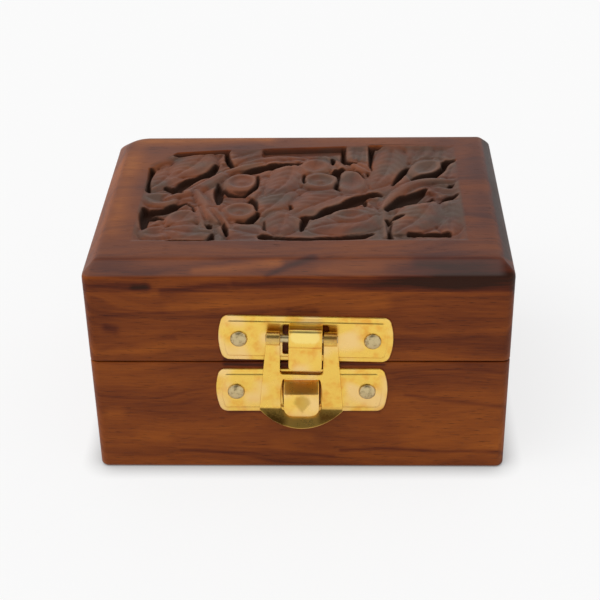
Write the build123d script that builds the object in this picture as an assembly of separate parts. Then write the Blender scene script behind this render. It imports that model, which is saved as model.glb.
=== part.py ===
"""Dice box with a hinged lid: a small carved hardwood box, two butt hinges let into the
rear edges, and a stamped brass hasp latch on the front.

Millimetres. The origin is the centre of the underside, the front faces -Y and +Z is up.
"""
from build123d import *
import os

# ---- Box -----------------------------------------------------------------------------
BOX_WIDTH = 102.0
BOX_DEPTH = 74.0
BASE_HEIGHT = 32.0          # floor plane to the middle of the seam
LID_HEIGHT = 27.0           # middle of the seam to the top
SEAM_GAP = 0.3              # between the two rims when the lid is shut
WALL = 7.5
FLOOR_THICKNESS = 6.0
TOP_THICKNESS = 7.3
CORNER_RADIUS = 2.0         # upright outer corners
BOTTOM_ROUND = 1.0          # outer edge round the underside
RIM_ROUND = 0.35            # outer edges on both sides of the seam
TOP_BEVEL = 3.1             # 45 degree bevel round the carved top

# ---- Carving -------------------------------------------------------------------------
CARVING_WIDTH = 81.0
CARVING_NEAR_EDGE = 25.1    # centre of the top to the near edge of the carved field
CARVING_LEFT_END = 16.6     # and to the far end of its left side
CARVING_RIGHT_END = 27.6    # and to the far end of its right side
DRAWING_SHIFT = 1.0         # the drawing sits this far behind the centre of the top
LEAF_SINK = 0.55            # top face down to the leaves and stems
BED_SINK = 0.95             # down to the bed that they stand on
STRIP_SINK = 1.6            # down to the half-sunk strip along the far edge
GAP_SINK = 2.9              # down to the ground of the gouged gaps

# ---- Lining --------------------------------------------------------------------------
LINING_THICKNESS = 1.2
LINING_CLEARANCE = 0.3

# ---- Hinges --------------------------------------------------------------------------
HINGE_SPACING = 54.0        # centre to centre of the two hinges
HINGE_LENGTH = 16.0
HINGE_INSET = 2.0           # back face to the hinge axis
LEAF_REACH = 4.8            # hinge axis to the front edge of a leaf
LEAF_THICKNESS = 0.8
HINGE_PIN_DIAMETER = 1.3
KNUCKLE_WALL = 0.8
KNUCKLE_COUNT = 3
KNUCKLE_END_GAP = 0.2
STOP_BEVEL_ANGLE = 51.0     # each rear edge is cut back at this angle to the seam
GROOVE_OVERCUT = 1.0        # the V is cut this far past the back face
BARREL_CLEARANCE = 0.3
HINGE_SCREW_SPACING = 9.0
HINGE_SCREW_HEAD = 2.6
HINGE_SCREW_SHANK = 1.4
HINGE_SCREW_LENGTH = 6.0

# ---- Latch ---------------------------------------------------------------------------
PLATE_LENGTH = 42.0
PLATE_HEIGHT = 12.6
PLATE_THICKNESS = 0.8
PLATE_END_BULGE = 1.2
PLATE_CORNER = 1.4
PLATE_BORDER = 1.3          # width of the sloped border
PLATE_BORDER_DROP = 0.4
LID_PLATE_RISE = 6.8        # seam to the middle of the lid plate
BASE_PLATE_DROP = 8.1       # seam to the middle of the base plate
LATCH_OFFSET = 1.7          # lid plate to the right of the box's middle
BASE_PLATE_OFFSET = 0.5
LATCH_TILT = 1.4            # the lid plate is nailed on slightly askew, right end low
NAIL_SPACING = 32.0
NAIL_HEAD = 4.2
NAIL_DOME = 1.1
NAIL_SHANK = 1.5
NAIL_LENGTH = 5.5

LATCH_PIN_DIAMETER = 2.0
LATCH_PIN_RISE = 1.6        # pin above the middle of the lid plate
LATCH_PIN_OVERHANG = 0.25   # pin beyond each ear of the hasp
PIN_SEAT = 0.02             # radial, pin in a fixed knuckle
RUNNING_FIT = 0.05          # radial, pin in a turning knuckle
SHEET_CLEARANCE = 0.15      # hasp to the plates behind it

WINDOW_CORNER = 0.6
FOLD_RUN_UP = 1.2           # a folded strip is upright from this far below its fold
LID_WINDOW_WIDTH = 11.0
LID_WINDOW_HEIGHT = 8.2
TONGUE_WIDTH = 8.0
TONGUE_ROOT = 1.2           # upright stretch of the tongue above its foot
TONGUE_LENGTH = 8.1         # pin axis down to the free end of the tongue
TONGUE_CORNER = 1.0
BASE_WINDOW_WIDTH = 9.2
BASE_WINDOW_HEIGHT = 8.4
CATCH_WIDTH = 8.6
CATCH_ROOT = 1.2            # upright stretch of the catch below its root
CATCH_CORNER = 2.0
CATCH_RIDGE = 1.3           # ridge above the middle of the base plate
CATCH_STAND = 3.3           # face of the box to the ridge
CATCH_FOLD = 0.85           # centre-line radius of the catch's folds
CATCH_HEIGHT = 4.8          # middle of the base plate down to the free end
CATCH_FLARE = 1.0           # free end leans out from the ridge by this much

HASP_SHEET = 0.7
HASP_TOP_WIDTH = 16.8
HASP_BOTTOM_WIDTH = 20.4
HASP_SHIFT = -0.9           # end play on the pin taken up to the left
HASP_SLOT_WIDTH = 10.4
HASP_SLOT_DEPTH = 11.1      # pin axis down to the crossbar
HASP_CROSSBAR = 1.2
HASP_WINDOW_WIDTH = 10.0
HASP_WINDOW_TOP_WIDTH = 9.0
HASP_WINDOW_SHOULDER = 3.5  # height over which the window widens
HASP_SLOT_CORNER = 0.6
HASP_WINDOW_CORNER = 0.8
HASP_WINDOW_END = 21.7      # pin axis down to the foot of the lower window
HASP_BEND_DEPTH = 21.0      # pin axis down to the start of the finger lip
HASP_BEND_RADIUS = 1.6
LIP_REACH = 3.4             # finger lip outward
LIP_DROP = 4.0              # finger lip downward

# ---- Worked out from the sizes above -------------------------------------------------
HALF_WIDTH = BOX_WIDTH / 2
HALF_DEPTH = BOX_DEPTH / 2
BOX_HEIGHT = BASE_HEIGHT + LID_HEIGHT
BASE_RIM = BASE_HEIGHT - SEAM_GAP / 2
LID_RIM = BASE_HEIGHT + SEAM_GAP / 2
PANEL_UNDERSIDE = BOX_HEIGHT - TOP_THICKNESS
INNER_HALF_WIDTH = HALF_WIDTH - WALL
INNER_HALF_DEPTH = HALF_DEPTH - WALL

HINGE_Y = HALF_DEPTH - HINGE_INSET
HINGE_Z = BASE_HEIGHT
HINGE_XS = {"left": -HINGE_SPACING / 2, "right": HINGE_SPACING / 2}
KNUCKLE_BORE = HINGE_PIN_DIAMETER / 2 + RUNNING_FIT
KNUCKLE_RADIUS = KNUCKLE_BORE + KNUCKLE_WALL

TONGUE_FOLD = LATCH_PIN_DIAMETER / 2 + PIN_SEAT + PLATE_THICKNESS / 2
EAR_BORE = LATCH_PIN_DIAMETER / 2 + RUNNING_FIT
EAR_RADIUS = EAR_BORE + HASP_SHEET
PIN_STAND = PLATE_THICKNESS + SHEET_CLEARANCE + EAR_RADIUS
LATCH_PIN_LENGTH = HASP_TOP_WIDTH + 2 * LATCH_PIN_OVERHANG
LID_PLATE_Z = BASE_HEIGHT + LID_PLATE_RISE
BASE_PLATE_Z = BASE_HEIGHT - BASE_PLATE_DROP

# Everything on the lid plate is drawn round the hasp pin, then tilted with the plate.
LID_LATCH = (
    Pos(LATCH_OFFSET, -HALF_DEPTH, LID_PLATE_Z)
    * Rot(0, LATCH_TILT, 0)
    * Pos(0, 0, LATCH_PIN_RISE)
)
BASE_LATCH = Pos(BASE_PLATE_OFFSET, -HALF_DEPTH, BASE_PLATE_Z)


def block(x0, x1, y0, y1, z0, z1):
    """A box between two opposite corners."""
    centre = Pos((x0 + x1) / 2, (y0 + y1) / 2, (z0 + z1) / 2)
    return centre * Box(x1 - x0, y1 - y0, z1 - z0)


def rod(diameter, length, x=0.0, y=0.0, z=0.0):
    """A cylinder along X, centred on (x, y, z)."""
    return Pos(x, y, z) * Rot(0, 90, 0) * Cylinder(diameter / 2, length)


# ---- Wooden shells -------------------------------------------------------------------
def stop_groove():
    """The V cut along the rear of the seam: its faces meet when the lid is fully open."""
    run = HINGE_INSET + GROOVE_OVERCUT
    rise = run * tan_degrees(STOP_BEVEL_ANGLE)
    section = Plane.YZ * Polygon(
        (HINGE_Y, HINGE_Z),
        (HINGE_Y + run, HINGE_Z - rise),
        (HINGE_Y + run, HINGE_Z + rise),
        align=None,
    )
    return extrude(section, amount=BOX_WIDTH, both=True)


def tan_degrees(angle):
    """Tangent of an angle in degrees, from a vector turned in the XY plane."""
    turned = Vector(1, 0, 0).rotate(Axis.Z, angle)
    return turned.Y / turned.X


def hinge_recess():
    """What both rear walls lose to the hinge barrels."""
    notch = KNUCKLE_RADIUS + BARREL_CLEARANCE
    length = HINGE_LENGTH + 2 * BARREL_CLEARANCE
    return [rod(2 * notch, length, x, HINGE_Y, HINGE_Z) for x in HINGE_XS.values()]


def leaf_mortises(z0, z1):
    """Shallow seats for the hinge leaves in one rim."""
    half = HINGE_LENGTH / 2
    front = HINGE_Y - LEAF_REACH
    return [block(x - half, x + half, front, HINGE_Y, z0, z1) for x in HINGE_XS.values()]


def base_shell():
    """Outer form of the whole base, before it is divided into boards."""
    body = block(-HALF_WIDTH, HALF_WIDTH, -HALF_DEPTH, HALF_DEPTH, 0, BASE_RIM)
    body = fillet(body.edges().filter_by(Axis.Z), CORNER_RADIUS)
    body = fillet(body.faces().sort_by(Axis.Z)[0].edges(), BOTTOM_ROUND)
    return fillet(body.faces().sort_by(Axis.Z)[-1].edges(), RIM_ROUND)


def lid_shell():
    """Outer form of the whole lid, before it is divided into boards."""
    body = block(-HALF_WIDTH, HALF_WIDTH, -HALF_DEPTH, HALF_DEPTH, LID_RIM, BOX_HEIGHT)
    body = fillet(body.edges().filter_by(Axis.Z), CORNER_RADIUS)
    body = fillet(body.faces().sort_by(Axis.Z)[0].edges(), RIM_ROUND)
    along_x = extrude(Plane.YZ * bevelled_section(HALF_DEPTH), HALF_WIDTH, both=True)
    along_y = extrude(Plane.XZ * bevelled_section(HALF_WIDTH), HALF_DEPTH, both=True)
    return body & along_x & along_y


def bevelled_section(half):
    """Upright section of the lid with both top corners bevelled off."""
    shoulder = BOX_HEIGHT - TOP_BEVEL
    flat = half - TOP_BEVEL
    return Polygon(
        (-half, 0), (half, 0), (half, shoulder), (flat, BOX_HEIGHT),
        (-flat, BOX_HEIGHT), (-half, shoulder), align=None,
    )


def four_walls(shell, z0, z1):
    """Front and back boards run the full width; the sides fit between them."""
    inner_x, inner_y = INNER_HALF_WIDTH, INNER_HALF_DEPTH
    return {
        "front": shell & block(-HALF_WIDTH, HALF_WIDTH, -HALF_DEPTH, -inner_y, z0, z1),
        "back": shell & block(-HALF_WIDTH, HALF_WIDTH, inner_y, HALF_DEPTH, z0, z1),
        "left": shell & block(-HALF_WIDTH, -inner_x, -inner_y, inner_y, z0, z1),
        "right": shell & block(inner_x, HALF_WIDTH, -inner_y, inner_y, z0, z1),
    }


def base_boards():
    walls = four_walls(base_shell(), 0, BASE_RIM)
    seats = leaf_mortises(BASE_RIM - LEAF_THICKNESS, BASE_HEIGHT)
    walls["back"] = walls["back"] - stop_groove() - hinge_recess() - seats
    walls["back"] -= hinge_screws("base")
    walls["front"] -= latch_nails(BASE_LATCH)
    floor = block(
        -INNER_HALF_WIDTH, INNER_HALF_WIDTH, -INNER_HALF_DEPTH, INNER_HALF_DEPTH,
        0, FLOOR_THICKNESS,
    )
    boards = {f"base_{side}_wall": wall for side, wall in walls.items()}
    boards["base_floor"] = floor
    return boards


def base_lining():
    """Felt laid on the floor of the box."""
    half_x = INNER_HALF_WIDTH - LINING_CLEARANCE
    half_y = INNER_HALF_DEPTH - LINING_CLEARANCE
    top = FLOOR_THICKNESS + LINING_THICKNESS
    felt = block(-half_x, half_x, -half_y, half_y, FLOOR_THICKNESS, top)
    return fillet(felt.edges().filter_by(Axis.Z), CORNER_RADIUS)


def lid_boards():
    shell = lid_shell()
    walls = four_walls(shell, LID_RIM, PANEL_UNDERSIDE)
    seats = leaf_mortises(BASE_HEIGHT, LID_RIM + LEAF_THICKNESS)
    walls["back"] = walls["back"] - stop_groove() - hinge_recess() - seats
    walls["back"] -= hinge_screws("lid")
    walls["front"] -= latch_nails(LID_LATCH * Pos(0, 0, -LATCH_PIN_RISE))
    panel = shell & block(
        -HALF_WIDTH, HALF_WIDTH, -HALF_DEPTH, HALF_DEPTH, PANEL_UNDERSIDE, BOX_HEIGHT
    )
    boards = {f"lid_{side}_wall": wall for side, wall in walls.items()}
    boards["lid_top_panel"] = carve(panel)
    return boards


# ---- Carving -------------------------------------------------------------------------
# The far edge of the field bends a little: its corners from right to left.
FAR_EDGE = ((20, 27.9), (10, 27.3), (-20, 25.4), (-34, 23.8))

# Leaves, petals and buds: centre x, centre y, length, width, turn in degrees.
LEAVES = (
    (-36, 8.8, 18, 8.4, 68), (-29, 17, 17, 11.6, 62), (-36, -3, 10, 8, -12),
    (-29.2, -13, 10, 8.6, 60), (-27.2, -20.4, 13, 9.4, -8), (-13.2, -20.4, 15, 9.6, -24),
    (-16, 22.2, 15, 10, 30), (-15.6, 6.3, 10, 10.4, 0), (-15.1, -9.6, 9.6, 9.4, 0),
    (-3.6, 8.6, 21, 10.4, 76), (-6.2, -4.6, 17, 10.6, 62), (-4.2, -15.4, 14, 10, 84),
    (3.2, 15.2, 10.6, 9, 80), (4.7, 6.8, 10.6, 9.6, 0), (6, -4, 23, 14.4, 40),
    (13, 6.6, 15.4, 9.4, 84), (13.9, 23, 12, 6.4, 84), (22.6, 15.6, 27, 9.4, 78),
    (32.7, 14.2, 12.4, 9.2, 54), (34, 23, 14, 12, 80), (29.2, -13.6, 21, 12.4, 60),
    (37.2, -13, 19, 9, 86), (12, -14.8, 22, 13.6, 22),
)

# Stems, the half-sunk strip and the gaps are ribbons. Each point of a centre line has
# x, y and half the width there.
STEMS = (
    ((-34, -2.4, 1.2), (-27, 2.8, 1.9), (-22.6, 8.4, 2.1), (-16, 15.2, 1.5), (-11, 17.6, 1.2)),
    ((-27, 2, 1.3), (-24.6, -4.4, 1.7), (-22.6, -11, 1.6), (-20.4, -14.8, 0.9)),
    ((20.4, -9, 1), (23, -2.2, 1.7), (27.6, 4.4, 1.9), (33, 7.2, 1.7), (39, 6.6, 1.1)),
)
STRIP = ((-9.6, 23.6, 1.4), (-3, 24.9, 2.1), (8.6, 25.2, 2.2))
GAPS = (
    ((-39.6, 13.4, 0.7), (-39.6, 1.4, 0.4)),
    ((-33.6, 2.6, 0.9), (-30.6, 5.6, 1.6), (-27.2, 9.6, 1), (-24.4, 12, 1.1), (-22.9, 17, 0.6)),
    ((-38.9, -9, 1.2), (-38.4, -17.8, 0.5)),
    ((-38.4, -10, 1.4), (-34.6, -9.2, 1.4), (-31.4, -6.4, 0.9), (-29, -4.2, 0.2)),
    ((-34.4, 22.4, 0.7), (-26, 23.8, 0.7), (-20.4, 24.2, 0.5)),
    ((-20.7, 24, 0.3), (-20, 19.2, 0.6), (-18.4, 15.4, 0.4)),
    ((-21.6, 5.8, 0.2), (-21.1, 0, 1.1), (-20.8, -5.4, 0.2)),
    ((-20.2, 2.2, 0.5), (-17.6, 0, 0.5), (-14.6, -0.1, 0.5), (-12.1, 3, 0.3), (-11.6, 10.4, 0.2)),
    ((-12.8, -3, 0.6), (-10.8, -8.6, 0.1), (-11.2, -13, 0.6), (-14.4, -15.6, 0.6)),
    ((-18.8, -15.8, 0.2), (-17.5, -22, 0.3)),
    ((-30.8, -25.4, 1.1), (-26, -25.8, 0.9), (-21.7, -25.1, 0.9), (-21.1, -21.6, 0.3)),
    ((-16, 12.5, 0.2), (-12.8, 13.4, 1.4), (-5.4, 16.6, 1), (-0.4, 17.4, 0.2)),
    ((10.9, 27, 0.4), (10.9, 19, 0.5), (14.2, 17.7, 0.2)),
    ((10.8, 14, 0.4), (8.8, 12.2, 0.9)),
    ((9.5, 12, 0.4), (9.2, 3.4, 0.3)),
    ((18.5, 27.2, 0.8), (17.9, 16.4, 0.2)),
    ((19.6, 26.6, 0.8), (28, 27.6, 0.2)),
    ((23.4, 5, 0.2), (25.6, 10.6, 0.6), (28, 15.4, 0.2)),
    ((40, 17.8, 0.5), (37.6, 17.4, 0.6), (36.8, 13.8, 0.5), (34.6, 10.6, 0.7), (28.6, 8.5, 0.3)),
    ((0.5, -19.6, 0.2), (1.4, -13.6, 0.7)),
    ((0.8, -13, 0.5), (4, -12.6, 0.6), (6.6, -9.6, 1), (10, -7.4, 0.9), (13.2, -4.6, 1.6),
     (15.6, -1.4, 0.9), (20.4, -0.4, 0.4)),
    ((21.4, -8.8, 0.3), (26.6, -3.4, 2), (32, 2.8, 0.3)),
    ((26, -5.4, 1), (29.6, -5, 0.9), (33.2, -3, 0.4)),
    ((35.4, -4.4, 0.4), (39.4, -1.4, 0.5)),
    ((22.6, -14.4, 0.4), (25, -12.6, 0.5)),
    ((26.8, -21.6, 0.5), (36, -21.8, 0.8)),
    ((-8.6, -23.4, 1.2), (-0.6, -24.7, 1.3), (5, -24.4, 1.2), (12.6, -23.6, 1.5), (17.8, -21.4, 0.3)),
)


def ribbon(points):
    """Straight-edged outline round a bent centre line, drawn to a tip at both ends."""
    places = [Vector(x, y) for x, y, _ in points]
    halves = [half for _, _, half in points]
    runs = [(b - a).normalized() for a, b in zip(places[:-1], places[1:])]
    ways = [runs[0]] + [(a + b).normalized() for a, b in zip(runs[:-1], runs[1:])] + [runs[-1]]
    sides = [way.rotate(Axis.Z, 90) * half for way, half in zip(ways, halves)]
    left = [place + side for place, side in zip(places, sides)]
    right = [place - side for place, side in zip(places, sides)]
    start = places[0] - runs[0] * halves[0]
    end = places[-1] + runs[-1] * halves[-1]
    return Polygon(start, *right, end, *left[::-1], align=None)


def united(outlines):
    """Several outlines of the drawing as one, in its place on the top."""
    return Pos(0, DRAWING_SHIFT) * outlines[0].fuse(*outlines[1:])


def carve(panel):
    """Sink the field to a bed, leave leaves and stems standing in it, and gouge the gaps."""
    half = CARVING_WIDTH / 2
    field = Polygon(
        (-half, -CARVING_NEAR_EDGE), (half, -CARVING_NEAR_EDGE), (half, CARVING_RIGHT_END),
        *FAR_EDGE, (-half, CARVING_LEFT_END), align=None,
    )
    leaves = [
        Pos(x, y) * Rot(0, 0, turn) * Ellipse(length / 2, width / 2)
        for x, y, length, width, turn in LEAVES
    ]
    forms = united(leaves + [ribbon(stem) for stem in STEMS]) & field
    strip = Pos(0, DRAWING_SHIFT) * ribbon(STRIP) & field
    gaps = united([ribbon(gap) for gap in GAPS]) & field
    cuts = ((field - forms, BED_SINK), (forms, LEAF_SINK), (strip, STRIP_SINK), (gaps, GAP_SINK))
    for outline, sink in cuts:
        panel -= extrude(Pos(0, 0, BOX_HEIGHT - sink) * outline, sink)
    return panel


# ---- Hinges --------------------------------------------------------------------------
def knuckles(x, wanted):
    """The barrel lengths of one hinge that belong to one leaf."""
    pitch = HINGE_LENGTH / KNUCKLE_COUNT
    first = x - HINGE_LENGTH / 2 + pitch / 2
    length = pitch - KNUCKLE_END_GAP
    return [
        rod(2 * KNUCKLE_RADIUS, length, first + pitch * i, HINGE_Y, HINGE_Z)
        for i in range(KNUCKLE_COUNT) if i % 2 == wanted
    ]


def hinge_leaf(x, side):
    """One leaf and its knuckles: the base has the outer knuckles, the lid the middle."""
    half = HINGE_LENGTH / 2
    below = side == "base"
    z0 = BASE_RIM - LEAF_THICKNESS if below else LID_RIM
    plate = block(x - half, x + half, HINGE_Y - LEAF_REACH, HINGE_Y, z0, z0 + LEAF_THICKNESS)
    own, other = (0, 1) if below else (1, 0)
    clear = KNUCKLE_RADIUS + BARREL_CLEARANCE
    pitch = HINGE_LENGTH / KNUCKLE_COUNT
    first = x - half + pitch / 2
    for i in range(other, KNUCKLE_COUNT, 2):
        plate -= rod(2 * clear, pitch + KNUCKLE_END_GAP, first + pitch * i, HINGE_Y, HINGE_Z)
    leaf = plate.fuse(*knuckles(x, own))
    leaf -= rod(2 * KNUCKLE_BORE, HINGE_LENGTH, x, HINGE_Y, HINGE_Z)
    return leaf - hinge_screws(side)


def hinge_pin(x):
    length = HINGE_LENGTH - KNUCKLE_END_GAP
    return rod(HINGE_PIN_DIAMETER, length, x, HINGE_Y, HINGE_Z)


def hinge_screws(side):
    """Countersunk screws through the leaves of one side, as separate solids."""
    head, shank = HINGE_SCREW_HEAD / 2, HINGE_SCREW_SHANK / 2
    cone = head - shank
    below = side == "base"
    rim = BASE_RIM if below else LID_RIM
    profile = Polyline(
        (0, 0), (head, 0), (shank, -cone), (shank, -HINGE_SCREW_LENGTH + shank),
        (0, -HINGE_SCREW_LENGTH), close=True,
    )
    screw = revolve(Plane.XZ * make_face(profile), Axis.Z)
    flip = Rot(0, 0, 0) if below else Rot(180, 0, 0)
    y = HINGE_Y - LEAF_REACH / 2 - KNUCKLE_RADIUS / 2
    offsets = (-HINGE_SCREW_SPACING / 2, HINGE_SCREW_SPACING / 2)
    return [Pos(x + d, y, rim) * flip * screw for x in HINGE_XS.values() for d in offsets]


# ---- Latch ---------------------------------------------------------------------------
# Latch outlines are drawn in X and Z, and stand out of the front of the box towards -Y.
FRONT = Plane(origin=(0, 0, 0), x_dir=(1, 0, 0), z_dir=(0, -1, 0))
SIDE = Plane(origin=(0, 0, 0), x_dir=(0, -1, 0), z_dir=(-1, 0, 0))


def stand(sketch, start, thickness):
    """A front outline given a thickness, from a height above the face of the box."""
    return extrude(FRONT.offset(start) * sketch, thickness)


def strip(path, thickness, width):
    """Sheet metal folded along a side path of (stand-off, height) points."""
    section = SIDE * trace(path, thickness)
    return extrude(section, width / 2, both=True)


def latch_plate():
    """Stamped plate with bulged ends and a sloped border, centred on its middle."""
    end, half = PLATE_LENGTH / 2, PLATE_HEIGHT / 2
    corner = end - PLATE_END_BULGE
    outline = Polyline((-corner, -half), (corner, -half))
    outline += ThreePointArc((corner, -half), (end, 0), (corner, half))
    outline += Polyline((corner, half), (-corner, half))
    outline += ThreePointArc((-corner, half), (-end, 0), (-corner, -half))
    face = make_face(outline)
    face = fillet(face.vertices(), PLATE_CORNER)
    plate = stand(face, 0, PLATE_THICKNESS)
    front = plate.faces().sort_by(Axis.Y)[0]
    return chamfer(front.edges(), PLATE_BORDER, PLATE_BORDER_DROP, reference=front)


def latch_nails(place):
    """Two dome-headed nails through one plate, as separate solids."""
    radius, shank = NAIL_HEAD / 2, NAIL_SHANK / 2
    dome = (radius**2 + NAIL_DOME**2) / (2 * NAIL_DOME)
    head = Pos(0, 0, NAIL_DOME - dome) * Sphere(dome)
    head &= block(-radius, radius, -radius, radius, 0, NAIL_DOME)
    nail = head + Pos(0, 0, -NAIL_LENGTH / 2) * Cylinder(shank, NAIL_LENGTH)
    nail = Pos(0, -PLATE_THICKNESS, 0) * Rot(90, 0, 0) * nail
    half = NAIL_SPACING / 2
    return [place * Pos(x, 0, 0) * nail for x in (-half, half)]


def lid_plate():
    """Plate with a window, and the tongue that folds out of it over the hasp pin."""
    plate = Pos(0, 0, -LATCH_PIN_RISE) * latch_plate()
    window = RectangleRounded(LID_WINDOW_WIDTH, LID_WINDOW_HEIGHT, WINDOW_CORNER)
    plate -= stand(Pos(0, -LATCH_PIN_RISE) * window, 0, PLATE_THICKNESS)
    middle = PLATE_THICKNESS / 2
    foot = -LATCH_PIN_RISE - LID_WINDOW_HEIGHT / 2 - middle
    back, front = PIN_STAND - TONGUE_FOLD, PIN_STAND + TONGUE_FOLD
    path = Polyline((middle, foot), (middle, foot + TONGUE_ROOT), (back, -FOLD_RUN_UP), (back, 0))
    path += ThreePointArc((back, 0), (PIN_STAND, TONGUE_FOLD), (front, 0))
    path += Line((front, 0), (front, -TONGUE_LENGTH))
    tongue = strip(path, PLATE_THICKNESS, TONGUE_WIDTH)
    tongue -= tip_corners(TONGUE_WIDTH, -TONGUE_LENGTH, TONGUE_CORNER, PIN_STAND)
    piece = plate + tongue
    return LID_LATCH * piece - latch_nails(LID_LATCH * Pos(0, 0, -LATCH_PIN_RISE))


def tip_corners(width, tip, radius, start):
    """What comes off the free end of a folded strip to round its two corners."""
    square = Rectangle(radius, radius, align=(Align.MAX, Align.MIN))
    corner = square - Pos(-radius, radius) * Circle(radius)
    corners = [Pos(width / 2, tip) * corner, mirror(Pos(width / 2, tip) * corner, Plane.YZ)]
    return [stand(one, start, start) for one in corners]


def base_plate():
    """Plate with a window, and the catch that slopes out of it through the hasp."""
    plate = latch_plate()
    window = RectangleRounded(BASE_WINDOW_WIDTH, BASE_WINDOW_HEIGHT, WINDOW_CORNER)
    plate -= stand(window, 0, PLATE_THICKNESS)
    middle = PLATE_THICKNESS / 2
    root, tip = BASE_WINDOW_HEIGHT / 2 + middle, -CATCH_HEIGHT
    path = FilletPolyline(
        (middle, root), (middle, root - CATCH_ROOT), (CATCH_STAND, CATCH_RIDGE),
        (CATCH_STAND + CATCH_FLARE, tip), radius=CATCH_FOLD,
    )
    catch = strip(path, PLATE_THICKNESS, CATCH_WIDTH)
    catch -= tip_corners(CATCH_WIDTH, tip, CATCH_CORNER, CATCH_STAND)
    piece = plate + catch
    return BASE_LATCH * piece - latch_nails(BASE_LATCH)


def latch_pin():
    pin = rod(LATCH_PIN_DIAMETER, LATCH_PIN_LENGTH, HASP_SHIFT, -PIN_STAND)
    return LID_LATCH * pin


def hasp():
    """Flap with two ears round the pin, a window for the catch and a finger lip."""
    top, bottom = HASP_TOP_WIDTH / 2, HASP_BOTTOM_WIDTH / 2
    flap = PIN_STAND - EAR_RADIUS + HASP_SHEET / 2
    lip = -HASP_BEND_DEPTH - LIP_DROP
    path = FilletPolyline(
        (flap, 0), (flap, -HASP_BEND_DEPTH), (flap + LIP_REACH, lip), radius=HASP_BEND_RADIUS
    )
    sheet = strip(path, HASP_SHEET, HASP_BOTTOM_WIDTH + 2)
    barrel = rod(2 * EAR_RADIUS, HASP_TOP_WIDTH, 0, -PIN_STAND)
    outline = Polyline(
        (-bottom, -HASP_BEND_DEPTH), (-top, 0), (-top, EAR_RADIUS),
        (top, EAR_RADIUS), (top, 0), (bottom, -HASP_BEND_DEPTH),
    )
    outline += ThreePointArc((bottom, -HASP_BEND_DEPTH), (0, lip), (-bottom, -HASP_BEND_DEPTH))
    depth = PIN_STAND + LIP_REACH + EAR_RADIUS
    piece = (sheet + barrel) & stand(make_face(outline), 0, depth)
    slot = Pos(0, EAR_RADIUS) * Rectangle(HASP_SLOT_WIDTH, 2 * (HASP_SLOT_DEPTH + EAR_RADIUS))
    slot = fillet(slot.vertices(), HASP_SLOT_CORNER)
    head = -HASP_SLOT_DEPTH - HASP_CROSSBAR
    shoulder = head - HASP_WINDOW_SHOULDER
    wide, narrow = HASP_WINDOW_WIDTH / 2, HASP_WINDOW_TOP_WIDTH / 2
    window = Polygon(
        (-narrow, head), (-wide, shoulder), (-wide, -HASP_WINDOW_END),
        (wide, -HASP_WINDOW_END), (wide, shoulder), (narrow, head), align=None,
    )
    window = fillet(window.vertices(), HASP_WINDOW_CORNER)
    piece = piece - stand(slot, 0, depth) - stand(window, 0, depth)
    piece -= rod(2 * EAR_BORE, HASP_BOTTOM_WIDTH, 0, -PIN_STAND)
    return LID_LATCH * Pos(HASP_SHIFT, 0, 0) * piece


# ---- Write the pieces ----------------------------------------------------------------
def all_pieces():
    pieces = {}
    pieces.update(base_boards())
    pieces["base_lining"] = base_lining()
    pieces.update(lid_boards())
    for side, x in HINGE_XS.items():
        pieces[f"{side}_hinge_base_leaf"] = hinge_leaf(x, "base")
        pieces[f"{side}_hinge_lid_leaf"] = hinge_leaf(x, "lid")
        pieces[f"{side}_hinge_pin"] = hinge_pin(x)
    pieces["hinge_base_screws"] = Compound(children=hinge_screws("base"))
    pieces["hinge_lid_screws"] = Compound(children=hinge_screws("lid"))
    pieces["latch_lid_plate"] = lid_plate()
    pieces["latch_base_plate"] = base_plate()
    pieces["latch_hasp"] = hasp()
    pieces["latch_hasp_pin"] = latch_pin()
    lid_nails = latch_nails(LID_LATCH * Pos(0, 0, -LATCH_PIN_RISE))
    pieces["latch_lid_nails"] = Compound(children=lid_nails)
    pieces["latch_base_nails"] = Compound(children=latch_nails(BASE_LATCH))
    return pieces


os.makedirs("parts", exist_ok=True)
for name, piece in all_pieces().items():
    export_step(piece, f"parts/{name}.step")
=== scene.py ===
# %% [markdown]
# # A small carved dice box with a hasp latch
# A hand-made hardwood box: boards about 7 mm thick, a lid on two little butt hinges, a
# floral carving sunk into the top, and a stamped brass latch. The CAD model gives every
# part its size and place. The walls, the floor and the hinges keep their CAD shapes and get
# a finish, while the carved board, the felt, the latch and the screws are made again as
# finer surfaces.

# %% Load the frame
import math

import bmesh
import bpy
import numpy as np
from mathutils import Matrix


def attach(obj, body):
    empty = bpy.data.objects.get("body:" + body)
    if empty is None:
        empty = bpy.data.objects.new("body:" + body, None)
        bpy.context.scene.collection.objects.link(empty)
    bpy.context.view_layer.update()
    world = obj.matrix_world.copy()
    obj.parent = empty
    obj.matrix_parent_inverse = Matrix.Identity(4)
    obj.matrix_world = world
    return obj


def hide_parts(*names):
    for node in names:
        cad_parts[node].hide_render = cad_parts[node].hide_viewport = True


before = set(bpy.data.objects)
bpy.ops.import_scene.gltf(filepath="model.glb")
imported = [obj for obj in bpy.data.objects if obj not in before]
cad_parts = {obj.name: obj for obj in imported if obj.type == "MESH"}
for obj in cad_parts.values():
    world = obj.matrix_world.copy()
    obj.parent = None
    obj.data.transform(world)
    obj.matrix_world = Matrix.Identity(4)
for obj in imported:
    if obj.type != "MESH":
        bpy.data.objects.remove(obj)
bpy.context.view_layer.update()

# %% [markdown]
# ## Measures
# Sizes are in millimetres, as on a workshop drawing, and become metres only when something
# is written. They repeat the CAD model's, so each finer surface lies where its solid lies.

# %% Measures of the box
MM = 0.001
HALF_WIDTH, HALF_DEPTH, HEIGHT = 51.0, 37.0, 59.0
PANEL_UNDERSIDE, FRONT_FACE = 51.7, -HALF_DEPTH
print("box", 2 * HALF_WIDTH, "by", 2 * HALF_DEPTH, "by", HEIGHT, "mm")

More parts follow.
